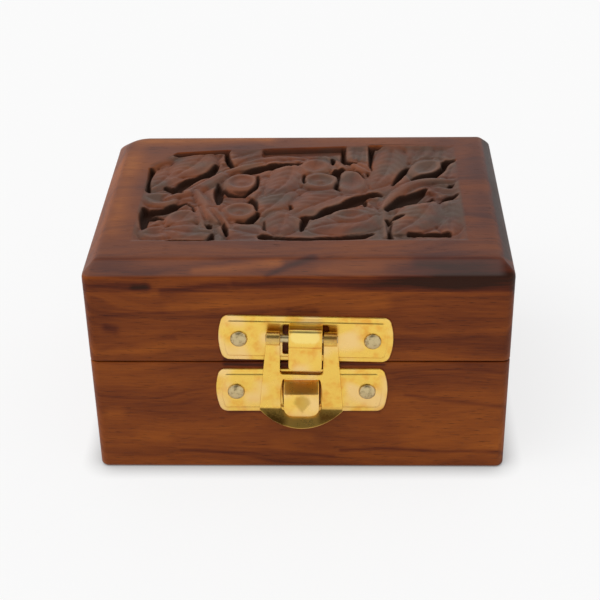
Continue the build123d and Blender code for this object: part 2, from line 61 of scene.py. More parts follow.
# %% [markdown]
# ## Surfaces from formulas
# A shape of hand-placed vertices is hard to change. Here a rule turns a row and a column
# number into a point, numpy works out the whole lattice at once, and neighbouring points
# become the corners of quads.

# %% Lattices, and meshes from them
def lattice(points, wrap_rows=False, wrap_cols=False, keep=None):
    """Quads (i, j), (i+1, j), (i+1, j+1), (i, j+1) over a lattice of points. Wrapping joins
    the last to the first; keep is a mask of the quads that stay."""
    rows, cols = points.shape[:2]
    i, j = np.meshgrid(
        np.arange(rows if wrap_rows else rows - 1),
        np.arange(cols if wrap_cols else cols - 1), indexing="ij")
    below, right = (i + 1) % rows, (j + 1) % cols
    quads = np.stack([i * cols + j, below * cols + j, below * cols + right, i * cols + right], -1)
    quads = quads.reshape(-1, 4) if keep is None else quads[keep]
    return points.reshape(-1, 3), quads


def together(*shapes):
    """Several (points, quads) shapes as one: each shape's quads count on from the last."""
    starts = np.cumsum([0] + [len(points) for points, _ in shapes[:-1]])
    points = np.concatenate([points for points, _ in shapes])
    return points, np.concatenate([quads + start for (_, quads), start in zip(shapes, starts)])


def add_object(name, data):
    """A new object in the scene, at the origin and unturned."""
    made = bpy.data.objects.new(name, data)
    bpy.context.scene.collection.objects.link(made)
    return made


def make_piece(name, shape, body, stands_for, crease=40.0, marks=None):
    """A mesh object in metres from a shape in millimetres, riding on a body. Points that
    coincide are merged, which closes seams and poles, and faces are turned outwards."""
    points, quads = shape
    mesh = bpy.data.meshes.new(name)
    mesh.from_pydata(points * MM, [], quads)
    for mark, values in (marks or {}).items():
        mesh.attributes.new(mark, "FLOAT", "POINT").data.foreach_set(
            "value", values.astype(np.float32).ravel())
    shell = bmesh.new()
    shell.from_mesh(mesh)
    bmesh.ops.remove_doubles(shell, verts=shell.verts, dist=2e-6)
    bmesh.ops.dissolve_degenerate(shell, edges=shell.edges, dist=1e-7)
    bmesh.ops.recalc_face_normals(shell, faces=shell.faces)
    shell.to_mesh(mesh)
    shell.free()
    mesh.shade_smooth()
    mesh.set_sharp_from_angle(angle=math.radians(crease))
    piece = add_object(name, mesh)
    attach(piece, body)
    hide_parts(stands_for)
    print(f"{name}: {len(mesh.vertices)} points, {len(mesh.polygons)} faces")
    return piece


def ease(low, high, value):
    """0 below low, 1 above high, and a smooth S between them: 3t^2 - 2t^3."""
    t = np.clip((value - low) / (high - low), 0, 1)
    return t * t * (3 - 2 * t)


# %% [markdown]
# Plates, felt and lid have outlines that are rectangles with rounded corners. If every
# such outline is walked in the same number of steps, two of them join point to point, and
# a plate becomes a stack of rings: window, face, border, rim, back.

# %% Rounded outlines
def outline(half_x, half_y, radii, steps_x, steps_y, corner_steps):
    """A closed walk round a rounded rectangle. Of each side's steps, corner_steps at either
    end lie on the corner's arc, in equal steps of angle up to 45 degrees."""
    radii = np.broadcast_to(radii, 4)
    sides = []
    for k in range(4):
        along_x = k % 2 == 1
        half_along, half_across = (half_x, half_y) if along_x else (half_y, half_x)
        steps = steps_x if along_x else steps_y
        start, end = radii[k], radii[(k + 1) % 4]
        line = np.concatenate([
            np.full(corner_steps, -half_along + start),
            np.linspace(-half_along + start, half_along - end, steps - 2 * corner_steps + 1),
            np.full(corner_steps, half_along - end)])[:-1]
        turn = np.concatenate([
            np.linspace(-45, 0, corner_steps, endpoint=False),
            np.zeros(steps - 2 * corner_steps + 1),
            np.linspace(0, 45, corner_steps + 1)[1:]])[:-1]
        radius = np.where(turn < 0, start, end)
        angle = np.radians(turn)
        along = line + np.sin(angle) * radius
        across = half_across - radius * (1 - np.cos(angle))
        quarter = k * math.pi / 2
        sides.append(np.stack([
            across * math.cos(quarter) - along * math.sin(quarter),
            across * math.sin(quarter) + along * math.cos(quarter)], -1))
    return np.concatenate(sides)


def ring(outline_xy, height):
    """An outline lifted to a height, as one row of a lattice."""
    return np.column_stack([outline_xy, np.full(len(outline_xy), float(height))])


# %% [markdown]
# ## Camera
# The camera stands in front of the box, a little to the right, and looks down by about
# 31 degrees with a long lens, so that the sides hardly converge.

# %% Camera
CAMERA_PLACE = (10.94, -321.87, 222.23)
CAMERA_TURN, CAMERA_DOWN, CAMERA_ROLL = (math.radians(a) for a in (-2.095, 31.213, -1.157))
CAMERA_LENS = 84.89


def place_by_axes(thing, right, up, back, place=(0.0, 0.0, 0.0)):
    """Turns and places an object by its three axes, the columns of its matrix."""
    columns = np.column_stack([right, up, back, np.array(place) * MM])
    thing.matrix_world = Matrix(columns.tolist()).to_4x4()


def set_camera():
    """Forward is (sin turn cos down, cos turn cos down, -sin down). Right is level, up is
    square to both, and the roll turns these two about forward."""
    forward = np.array([
        math.sin(CAMERA_TURN) * math.cos(CAMERA_DOWN),
        math.cos(CAMERA_TURN) * math.cos(CAMERA_DOWN), -math.sin(CAMERA_DOWN)])
    right = np.array([math.cos(CAMERA_TURN), -math.sin(CAMERA_TURN), 0.0])
    up = np.cross(right, forward)
    c, s = math.cos(CAMERA_ROLL), math.sin(CAMERA_ROLL)
    camera = add_object("camera", bpy.data.cameras.new("camera"))
    place_by_axes(camera, c * right + s * up, c * up - s * right, -forward, CAMERA_PLACE)
    camera.data.lens, camera.data.sensor_width = CAMERA_LENS, 36.0
    camera.data.clip_start, camera.data.clip_end = 0.01, 100.0
    bpy.context.scene.camera = camera
    return camera


print("camera at", tuple(round(v, 4) for v in set_camera().location))

# %% [markdown]
# ## Writing shaders as sums
# Drawing a finish as nodes takes a lot of code, so two helpers keep it readable: a Wire is
# one output socket and knows plus, minus, times and so on, and a Graph adds any other node
# from its type, settings and inputs.

# %% Wires
def operator(operation, reflected=False):
    """A method that adds a Math node for one operation and returns its output. A reflected
    one has the wire on the right, as in 1 - mask."""
    def method(wire, other):
        pair = (other, wire) if reflected else (wire, other)
        return wire.graph.node("Math", {"operation": operation}, dict(enumerate(pair)))
    return method


class Wire:
    """One output socket of a node."""

    def __init__(self, graph, socket):
        self.graph, self.socket = graph, socket

    __add__ = __radd__ = operator("ADD")
    __mul__ = __rmul__ = operator("MULTIPLY")
    __sub__, __rsub__ = operator("SUBTRACT"), operator("SUBTRACT", reflected=True)
    __truediv__, __rtruediv__ = operator("DIVIDE"), operator("DIVIDE", reflected=True)
    __pow__, __rpow__ = operator("POWER"), operator("POWER", reflected=True)
    at_least, at_most = operator("MAXIMUM"), operator("MINIMUM")

    def ease(self, low, high):
        """0 at low, 1 at high and a smooth S between, where low may be the larger."""
        return self.graph.node("MapRange", {"interpolation_type": "SMOOTHSTEP"},
                               {"Value": self, "From Min": low, "From Max": high})


# %% Graphs
class Graph:
    """The node tree of one material or world."""

    def __init__(self, tree):
        self.tree = tree
        tree.nodes.clear()

    def node(self, kind, settings=None, inputs=None, output=0):
        """Adds a ShaderNode of a kind: first its settings, then its sockets' values or
        links, and returns one of its outputs."""
        made = self.tree.nodes.new("ShaderNode" + kind)
        for key, value in (settings or {}).items():
            setattr(made, key, value)
        for key, value in (inputs or {}).items():
            if isinstance(value, Wire):
                self.tree.links.new(value.socket, made.inputs[key])
            else:
                made.inputs[key].default_value = value
        return Wire(self, made.outputs[output])

    def vector(self, x, y, z):
        """Three numbers as one vector."""
        return self.node("CombineXYZ", inputs={0: x, 1: y, 2: z})

    def parts(self, vector):
        """The three numbers of a vector."""
        return [self.node("SeparateXYZ", inputs={0: vector}, output=k) for k in range(3)]

    def millimetres(self):
        """The piece's own coordinates in millimetres, as three wires and as a vector."""
        place = self.node("TexCoord", output="Object")
        scaled = self.node("VectorMath", {"operation": "SCALE"}, {0: place, "Scale": 1 / MM})
        return self.parts(scaled), scaled

    def noise(self, place, scale, detail=2.0, roughness=0.5, dimensions="3D"):
        """Noise over a vector, or with "1D" along one number, such as the depth into a log."""
        return self.node("TexNoise", {"noise_dimensions": dimensions}, {
            "W" if dimensions == "1D" else "Vector": place,
            "Scale": scale, "Detail": detail, "Roughness": roughness})

    def attribute(self, name):
        """A mark that the mesh carries at its points."""
        return self.node("Attribute", {"attribute_name": name}, output="Fac")

    def mix(self, factor, a, b):
        """Mixes two colours, which may be wires or (r, g, b)."""
        a, b = (c if isinstance(c, Wire) else (*c, 1.0) for c in (a, b))
        return self.node("Mix", {"data_type": "RGBA"}, {0: factor, 6: a, 7: b}, output=2)

    def ramp(self, level, stops):
        """A colour from a number, by (number, colour) stops."""
        colour = self.node("ValToRGB", inputs={"Fac": level})
        elements = colour.socket.node.color_ramp.elements
        while len(elements) < len(stops):
            elements.new(1.0)
        for element, (place, stop) in zip(elements, stops):
            element.position, element.color = place, (*stop, 1.0)
        return colour

    def bump(self, height, depth, strength):
        """A normal that follows a height, which is multiplied by a depth in millimetres."""
        return self.node("Bump", inputs={
            "Height": height, "Distance": depth * MM, "Strength": strength})

    def end(self, shader, kind="OutputMaterial"):
        """Links a shader to the tree's own output."""
        output = self.tree.nodes.new("ShaderNode" + kind)
        self.tree.links.new(shader.socket, output.inputs["Surface"])

    def finish(self, **sockets):
        """Ends a material in one Principled shader; underscores in names stand for spaces."""
        self.end(self.node("BsdfPrincipled", inputs={
            key.replace("_", " "): (*value, 1.0) if isinstance(value, tuple) else value
            for key, value in sockets.items()}))


def new_finish(name):
    """A material, and the graph that its nodes go into."""
    material = bpy.data.materials.new(name)
    material.use_nodes = True
    return material, Graph(material.node_tree)


# %% Tones, and putting a finish on a piece
def tone(red, green, blue):
    """A colour read off a colour card (0 to 255) as the linear light that shaders use."""
    card = np.array([red, green, blue]) / 255
    light = np.where(card < 0.04045, card / 12.92, ((card + 0.055) / 1.055) ** 2.4)
    return tuple(float(v) for v in light)


def dress(piece, material):
    """Puts a material in every slot of a piece, adding a slot where it has none."""
    slots = piece.data.materials
    if not slots:
        slots.append(material)
    for k in range(len(slots)):
        slots[k] = material


# %% [markdown]
# ## Studio
# The box stands on a pale floor in even light and under one broad soft lamp in front of it
# and to the left, which together light a flat white surface to just white. Behind the
# floor the camera and the metal see white, and the metal also sees one soft dark card high
# up in front, whose image gives its slopes their depth. The floor shows the camera only a
# fifth of its shading, so the shadow stays thin, and a painted contact shadow darkens it
# close under the box.

# %% Floor
PALE = tone(251, 251, 251)
FLOOR_SHARE = 0.20                       # how much of the floor's tone is shading
# the painted contact shadow under the box reaches this far
FLOOR_REACH, CONTACT_SHADOW_REACH = 6000.0, 5.5
CARD_EDGE, CARD_CORE = 38, 14            # degrees from the dark card's middle
ROOM_LIGHT, LAMP_LIGHT, LAMP_SPREAD = 0.6, 1.5, 50.0


def seen(graph, *rays):
    """1 for the kinds of ray that are named and 0 for all others."""
    return sum(graph.node("LightPath", output=f"Is {ray} Ray") for ray in rays)


def set_stage():
    """A flat pale floor. The camera sees a share of its shading and a glow for the rest,
    which fades close to the box into a painted contact shadow. Everything else sees plain
    pale paint."""
    material, graph = new_finish("pale floor")
    camera = seen(graph, "Camera")
    shaded = tuple(FLOOR_SHARE * c for c in PALE)
    glow = tuple((1 - FLOOR_SHARE) * c for c in PALE)
    # where the box shuts out the sky, near fades the camera's glow: a painted contact shadow
    near = graph.node("AmbientOcclusion", inputs={"Distance": CONTACT_SHADOW_REACH * MM}, output="AO")
    graph.finish(Base_Color=graph.mix(camera, PALE, shaded), Roughness=0.9,
                 Specular_IOR_Level=0.0, Emission_Strength=1.0,
                 Emission_Color=graph.mix(camera * near, (0.0, 0.0, 0.0), glow))
    mesh = bpy.data.meshes.new("floor")
    reach = FLOOR_REACH * MM
    mesh.from_pydata([(x * reach, y * reach, 0.0) for x, y in ((-1, -1), (1, -1), (1, 1), (-1, 1))],
                     [], [(0, 1, 2, 3)])
    mesh.materials.append(material)
    add_object("floor", mesh)


# %% Background
def set_world(level, card, card_tone):
    """White to the camera, to mirrors and through glass, and an even light of a level.
    Mirrors also see the card: the nearer a ray's direction is to the card's middle, the
    larger their dot product."""
    world = bpy.data.worlds.new("studio")
    world.use_nodes = True
    bpy.context.scene.world = world
    graph = Graph(world.node_tree)
    way = graph.node("TexCoord", output="Generated")
    middle = tuple(np.array(card) / np.linalg.norm(card))
    nearness = graph.node("VectorMath", {"operation": "DOT_PRODUCT"}, {0: way, 1: middle}, "Value")
    shade = nearness.ease(*(math.cos(math.radians(a)) for a in (CARD_EDGE, CARD_CORE)))
    shade = shade * seen(graph, "Glossy") * (1.0 - card_tone)
    white = seen(graph, "Camera", "Glossy", "Transmission") * (1.0 - level)
    graph.end(graph.node("Background", inputs={
        "Color": (*PALE, 1.0), "Strength": white + level - shade}), "OutputWorld")


# %% Lamp
def set_sun(name, direction):
    """A far, broad lamp that shines along a direction."""
    sun = add_object(name, bpy.data.lights.new(name, "SUN"))
    sun.data.energy, sun.data.angle = LAMP_LIGHT, math.radians(LAMP_SPREAD)
    back = -np.array(direction) / np.linalg.norm(direction)
    side = np.cross((0, 1, 0), back)
    side /= np.linalg.norm(side)
    place_by_axes(sun, side, np.cross(back, side), back)
    sun.visible_glossy = False           # polished metal sees the backdrop alone


bpy.context.scene.view_settings.view_transform = "Standard"
set_stage()
set_world(ROOM_LIGHT, card=(0.0, -0.6, 0.8), card_tone=0.12)
set_sun("soft light", direction=(0.62, 0.34, -1.0))
print("stage set")

# %% [markdown]
# ## Wood
# The boards are an oiled dark hardwood of the rosewood kind, with darker streaks that
# follow the rings of the log, and long open pores. The pattern is worked out inside the
# log, as distance from its centre line, and cut by the board's faces, so the ends show
# rings and the faces long streaks, with no seam between them.

# %% Streaks, and the tones of the carving
def streak(x, z, x0, z0, x1, z1, half_start, half_end, soft):
    """1 on a line between two points, 0 beyond its half width, which runs evenly from
    half_start to half_end. The line's nearest point is where the dot product of the offset
    and the line's direction falls, held between the two ends."""
    dx, dz = x1 - x0, z1 - z0
    square = dx * dx + dz * dz
    part = (((x - x0) * dx + (z - z0) * dz) / square).at_least(0.0).at_most(1.0)
    off_x, off_z = x - x0 - part * dx, z - z0 - part * dz
    away = (off_x * off_x + off_z * off_z) ** 0.5
    inside = part * (half_end - half_start) + half_start - away
    return inside.ease(-soft, soft)


def carving_tones(graph, colour, recess_stain_and_shade, x, y, place):
    """The carved board's tones over the wood's. A painted grey sheen lies on the faces that look
    up, by the third part of the face's direction, and a paler painted sheen on the front
    bevel. The carved field is duller, in patches, paler on its crests, and dark in its
    recesses: dark staining with painted shade in the gaps, and painted shade in hollows and
    on slopes that face the front."""
    up = graph.parts(graph.node("TexCoord", output="Normal"))[2]
    sloped = up.ease(0.3, 0.6) * up.ease(0.96, 0.84) * y.ease(-33.0, -34.5) * x.ease(49.5, 46.5)
    crest, worked = graph.attribute("crest"), graph.attribute("worked")
    patina = graph.noise(place, scale=0.13) + x * 0.0016
    for share, tint in (
            # the first two tones are a painted grey sheen, on the faces that look up and on the
            # front bevel
            (up.ease(0.84, 0.96) * 0.28, (60, 56, 58)), (sloped * 0.28, (112, 102, 100)),
            (worked * 0.42, (84, 60, 52)), (worked * patina.ease(0.44, 0.64) * 0.62, (76, 66, 58)),
            (worked * patina.ease(0.46, 0.34) * 0.30, (130, 74, 50)),
            (crest * 0.28, (146, 98, 74)), (recess_stain_and_shade, (34, 17, 11))):
        colour = graph.mix(share, colour, tone(*tint))
    return colour


# %% Rosewood
WOOD_STOPS = (
    (0.00, tone(38, 10, 3)), (0.22, tone(79, 28, 10)), (0.45, tone(117, 55, 16)),
    (0.70, tone(142, 73, 20)), (1.00, tone(178, 103, 36)))


def rosewood(name, grain, log, seed, shade=0.0, marks=(), cut=False, rough=0.42):
    """A board of one log. grain is the axis that the fibres follow, log the centre of the
    log across them, and shade lifts or lowers the whole board's tone. marks are streaks
    drawn over x and the way walked up the front and back over the top, z + y less the
    front's own y. cut adds the tones of the carving, from the mesh's own marks."""
    material, graph = new_finish(name)
    (x, y, z), place = graph.millimetres()
    along, a, b = {"x": (x, y, z), "y": (y, x, z)}[grain]

    def figure(start, rate, across_rate, detail=2.0, roughness=0.5):
        """Noise stretched along the fibres."""
        place = graph.vector(along * rate + start, a * across_rate, b * across_rate)
        return graph.noise(place, 1.0, detail, roughness)

    def rings(rate, start, detail, roughness=0.5):
        """Noise that changes only with the depth into the log."""
        return graph.noise(depth * rate + (seed + start), 1.0, detail, roughness, "1D")

    drift, waver = figure(seed, 0.011, 0.03), figure(seed, 0.05, 0.22)
    off_a, off_b = a - log[0], b - log[1]
    depth = (off_a * off_a + off_b * off_b) ** 0.5 + drift * 18.0 + waver * 1.8
    zones, bands, lines = rings(0.11, 0.0, 1.0), rings(0.42, 7.3, 2.0, 0.6), rings(1.9, 3.1, 1.0)
    fibre = figure(0.0, 0.16, 4.2, roughness=0.6)
    cloud = figure(seed, 0.035, 0.09, detail=3.0)
    level = (zones * 0.40 + bands * 0.40 + lines * 0.10 + fibre * 0.26 + cloud * 0.50
             + (shade - 0.40))
    walked = z + y + (waver - 0.5) * 3.0 - FRONT_FACE
    for line, soft, lift in marks:
        level = level + streak(x, walked, *line, soft=soft) * lift
    colour = graph.ramp(level, WOOD_STOPS)
    dark_line = bands.ease(0.44, 0.28) * zones.ease(0.62, 0.40)
    colour = graph.mix(dark_line * 0.4, colour, tone(52, 20, 10))
    pores = figure(0.0, 0.30, 5.2, detail=1.0).ease(0.64, 0.74)
    colour = graph.mix(pores * 0.5, colour, tone(40, 16, 8))
    roughness = cloud * 0.14 + pores * 0.2 + (rough - 0.07)
    if cut:
        # the carving's recesses: dark staining with painted shade
        recess_stain_and_shade = graph.attribute("recess_stain_and_shade")
        colour = carving_tones(graph, colour, recess_stain_and_shade, x, y, place)
        roughness = roughness + recess_stain_and_shade * 0.3
    graph.finish(
        Base_Color=colour, Roughness=roughness, Normal=graph.bump(fibre * 0.25 - pores, 0.05, 0.6),
        Specular_IOR_Level=0.20, Specular_Tint=tone(255, 230, 206))
    return material


# %% [markdown]
# Every board has its own place in a log. The front boards carry the figure that one sees
# first: a dark wedge under the lid's top edge, an orange patch above the latch, and slow
# streaks on the base, laid in as soft lines over the ring pattern. Other lines are painted
# shade: dark strips under the latch plates, and a darker right side and right bevel on the
# top.

# %% Finishes of the boards
# ((x, way, x, way, half width, half width), softness, lift)
BAND_MARKS = (
    ((-32, 51.8, -17, 53.6, 0.5, 0.8), 1.1, -0.26), ((-50, 53.4, -36, 53.2, 1.5, 1), 1.4, -0.22),
    ((10, 53.6, 52, 54.2, 0.2, 2), 1.3, -0.1), ((-38.5, 53, -35.5, 53, 0.8, 0.8), 0.9, -0.22),
)
# three marks here darken the right side of the top as painted shade: the line at x 46 on the
# border, the broad one from x 34 to 40, and the one at x 49.8 on the right bevel
TOP_MARKS = BAND_MARKS + (
    ((-15, 54, 52, 54.4, 0.7, 2.6), 1.3, -0.33), ((-24, 57.6, -5, 60.6, 0.7, 1.5), 1.2, 0.36),
    ((-7, 56.6, 3.5, 62.4, 0.5, 1.2), 1.1, -0.26), ((6, 58.6, 25, 60.6, 1, 2), 1.6, 0.17),
    ((22, 59.6, 52, 58.8, 1.2, 2.6), 2.4, -0.2), ((-48, 58, -20, 57.6, 1.4, 0.8), 2, -0.12),
    ((-44, 127, -10, 128.6, 2.6, 2.2), 2.5, 0.46), ((-45.5, 76, -45.5, 122, 2, 2.6), 2.5, 0.26),
    ((46, 72, 46, 124, 2.6, 2), 2.5, -0.1), ((24, 82, 29, 86, 2.4, 3), 3, 0.3),
    ((13, 104, 14, 108, 3, 3), 3, -0.14), ((34, 80, 37, 86, 2, 3), 3, -0.14),
    ((26, 116, 36, 120, 3, 3), 4, -0.12), ((-30, 112, -26, 118, 2, 2), 3, 0.18),
    ((-44, 60.6, 48, 60.6, 2.6, 3), 2.6, -0.09), ((34, 64, 40, 126, 8, 10), 14, -0.14),
    ((49.8, 64, 49.8, 128, 1.6, 1.4), 1, -0.42),
)
LID_MARKS = BAND_MARKS + (
    ((-15, 54, 52, 54.6, 0.7, 2.6), 1.3, -0.33), ((-30, 48, 20, 48.8, 1.2, 1.6), 2, 0.2),
    ((-2, 46.4, 4, 46.2, 0.7, 0.7), 1.2, -0.22), ((24, 44, 52, 42, 5, 8), 6, -0.1),
    ((-50, 44, -26, 47.5, 0.3, 0.6), 0.9, -0.12), ((-48, 36, -30, 39, 0.3, 0.4), 0.9, -0.12),
    # the last mark below is a painted shadow under the lid's latch plate
    ((-44, 41, -46, 41.4, 0.8, 0.8), 1.2, -0.2), ((-18, 32.4, 21, 31.8, 0.3, 0.3), 0.6, -0.34),
)
BASE_MARKS = (
    ((26, 22.4, 52, 18.6, 0.4, 0.5), 0.9, -0.22), ((30, 11, 50, 9, 4.5, 5.5), 4, 0.2),
    ((10, 5.6, 52, 5, 0.2, 0.5), 0.7, -0.28), ((-47, 17, -45, 17, 1.4, 1.4), 1.6, 0.16),
    ((-40, 10, -34, 9, 1.6, 1.2), 2, 0.14), ((-6, 8, 2, 9, 1.4, 1.2), 2, 0.12),
    # the last mark below is a painted shadow under the lid's plate, and the next line's mark one
    # under the base's plate
    ((-30, 5, 8, 4, 0.3, 0.5), 0.8, -0.16), ((-18, 31.2, 20.5, 31, 0.4, 0.4), 0.6, -0.34),
    ((-18, 17.2, 19.5, 17.2, 0.2, 0.2), 0.6, -0.28),
)
for node, grain, log, seed, more in (
        ("lid_front_wall", "x", (120, -60), 2.0, {"marks": LID_MARKS}),
        ("base_front_wall", "x", (150, -90), 5.0, {"marks": BASE_MARKS}),
        ("lid_back_wall", "x", (-130, -70), 8.0, {}),
        ("base_back_wall", "x", (-160, -80), 11.0, {}),
        ("lid_left_wall", "y", (110, -60), 14.0, {}),
        ("base_left_wall", "y", (90, -80), 17.0, {}),
        ("lid_right_wall", "y", (-110, -70), 20.0, {"shade": -0.06}),
        ("base_right_wall", "y", (-90, -60), 23.0, {"shade": -0.04}),
        ("base_floor", "x", (20, -160), 26.0, {"shade": 0.08, "rough": 0.6})):
    dress(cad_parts[node], rosewood(node.replace("_", " "), grain, log, seed, **more))
    print("finished", node)

# %% [markdown]
# ## The carving
# The top is relief carving in the traditional floral manner: leaves, round buds and petals
# left almost level with the border, parted by deep gouged gaps. It could be sculpted by
# hand, but a height rule is easier to correct: each form is laid over the ones before it,
# as a carver works from the lowest leaf to the topmost, and the gaps are cut last.

# %% Leaves, petals and buds
# kind, centre x, centre y, length, width, turn, level, hollow, and bend where there is one
FORMS = (
    ("leaf", -37.6, 20.4, 13, 8, 60, -0.15, 0.2), ("leaf", -28.6, -7.2, 9, 6.4, 70, -0.95, 0.2),
    ("leaf", -16, -2.6, 11, 7, -8, -1.3, 0.3), ("leaf", -20.3, -19.6, 13, 5.2, -80, -0.9, 0.2),
    ("leaf", -33.4, -15.2, 11, 7, 40, -0.8, 0.3), ("leaf", -22.4, 19.4, 13, 5.2, 76, -0.75, 0.2),
    ("leaf", 15, 10, 10, 5, -60, -0.7, 0.2), ("leaf", 38.4, -5.4, 10, 6.5, 70, -0.7, 0.2),
    ("leaf", 31.5, -2.6, 8, 4.4, 60, -1.4, 0.3), ("leaf", 18.4, -5.8, 11, 6, 64, -0.8, 0.3),
    ("leaf", 25, -16.5, 15, 7, -76, -0.8, 0.3), ("leaf", 38.4, 11, 14, 7, 74, -0.4, 0.2),
    ("leaf", 37.6, 3.4, 9, 6.4, -12, -0.6, 0.5), ("leaf", -36, 8.8, 18, 8.4, 68, -0.5, 0.4, 0.1),
    ("leaf", -29, 17, 17, 11.6, 62, -0.3, 0.55, 0.06), ("petal", -36, -3, 10, 8, -12, -0.35, 0.7),
    ("petal", -29.2, -13, 10, 8.6, 60, -0.4, 0.5), ("petal", -35, -20.8, 8.4, 7.6, 10, -0.45, 0.5),
    ("leaf", -27.2, -20.4, 13, 9.4, -8, -0.35, 0.5, 0.05),
    ("leaf", -13.2, -20.4, 15, 9.6, -24, -0.35, 0.4), ("leaf", -16, 22.2, 15, 10, 30, -0.25, 0.3),
    ("leaf", -8.6, 18.8, 24, 7, 14, -0.3, 0.4, -0.12), ("leaf", -9.2, 3.2, 17, 9, 66, -0.6, 0.5),
    ("leaf", -6.2, -4.6, 17, 10.6, 62, -0.45, 0.5, 0.06),
    ("leaf", -4.2, -15.4, 14, 10, 84, -0.4, 0.6),
    ("leaf", -3.6, 8.6, 21, 10.4, 76, -0.3, 0.7, 0.12), ("leaf", 8, 17, 13, 5.4, -64, -0.4, 0.3),
    ("petal", 3.2, 15.2, 10.6, 9, 80, -0.3, 0.8), ("leaf", 6, -4, 23, 14.4, 40, -0.35, 0.8, -0.04),
    ("petal", 13, 6.6, 15.4, 9.4, 84, -0.5, 0.7), ("bud", 4.7, 6.8, 10.6, 9.6, 0, -0.2, 0.8),
    ("bud", -15.6, 6.3, 10, 10.4, 0, -0.25, 0.6), ("bud", -15.1, -9.6, 9.6, 9.4, 0, -0.25, 0.6),
    ("leaf", 13.9, 23, 12, 6.4, 84, -0.25, 0.3), ("leaf", 16.6, 19.4, 19, 3.2, 88, -0.35, 0.1),
    ("leaf", 15.6, 15.4, 9, 4.4, -50, -0.35, 0.2), ("leaf", 37, 22.4, 14, 8.5, 84, -0.25, 0.4),
    ("leaf", 31.6, 23.2, 13, 7.4, 70, -0.35, 0.5), ("leaf", 26.8, 22.6, 13, 7.2, 76, -0.35, 0.5),
    ("leaf", 22.6, 15.6, 27, 9.4, 78, -0.35, 0.6, 0.06),
    ("petal", 32.7, 14.2, 12.4, 9.2, 54, -0.3, 0.7), ("leaf", 37.2, -13, 19, 9, 86, -0.25, 0.4),
    ("leaf", 29.2, -13.6, 21, 12.4, 60, -0.25, 0.7, 0.08),
    ("leaf", 12, -14.8, 22, 13.6, 22, -0.35, 0.5), ("petal", 12.4, -12, 10, 7.2, 6, -0.3, 0.6),
)

# %% Stems, gaps and half sunk places
# centre line points (x, y, half width), level
STEMS = (
    (((-34, -2.4, 1.2), (-27, 2.8, 1.9), (-22.6, 8.4, 2.1), (-19.4, 13.2, 1.6)), -0.35),
    (((-27, 2, 1.3), (-24.6, -4.4, 1.7), (-22.6, -11, 1.6), (-20.4, -14.8, 0.9)), -0.45),
    (((-22, -8, 1.1), (-19.4, -12.4, 1.1), (-17.2, -17.6, 0.7)), -0.4),
    (((-26, -7, 0.8), (-24.6, -13.4, 1), (-23.6, -18, 0.7)), -0.45),
    (((20.4, -9, 1), (23, -2.2, 1.7), (27.6, 4.4, 1.9), (33, 7.2, 1.7), (39, 6.6, 1.1)), -0.35),
    (((-19.4, 12.8, 1.5), (-16, 15.2, 1.5), (-11, 17.6, 1.2)), -0.35),
    (((20.9, -9.6, 0.9), (20.7, -15, 0.9), (20.9, -22.8, 0.8)), -0.5),
)
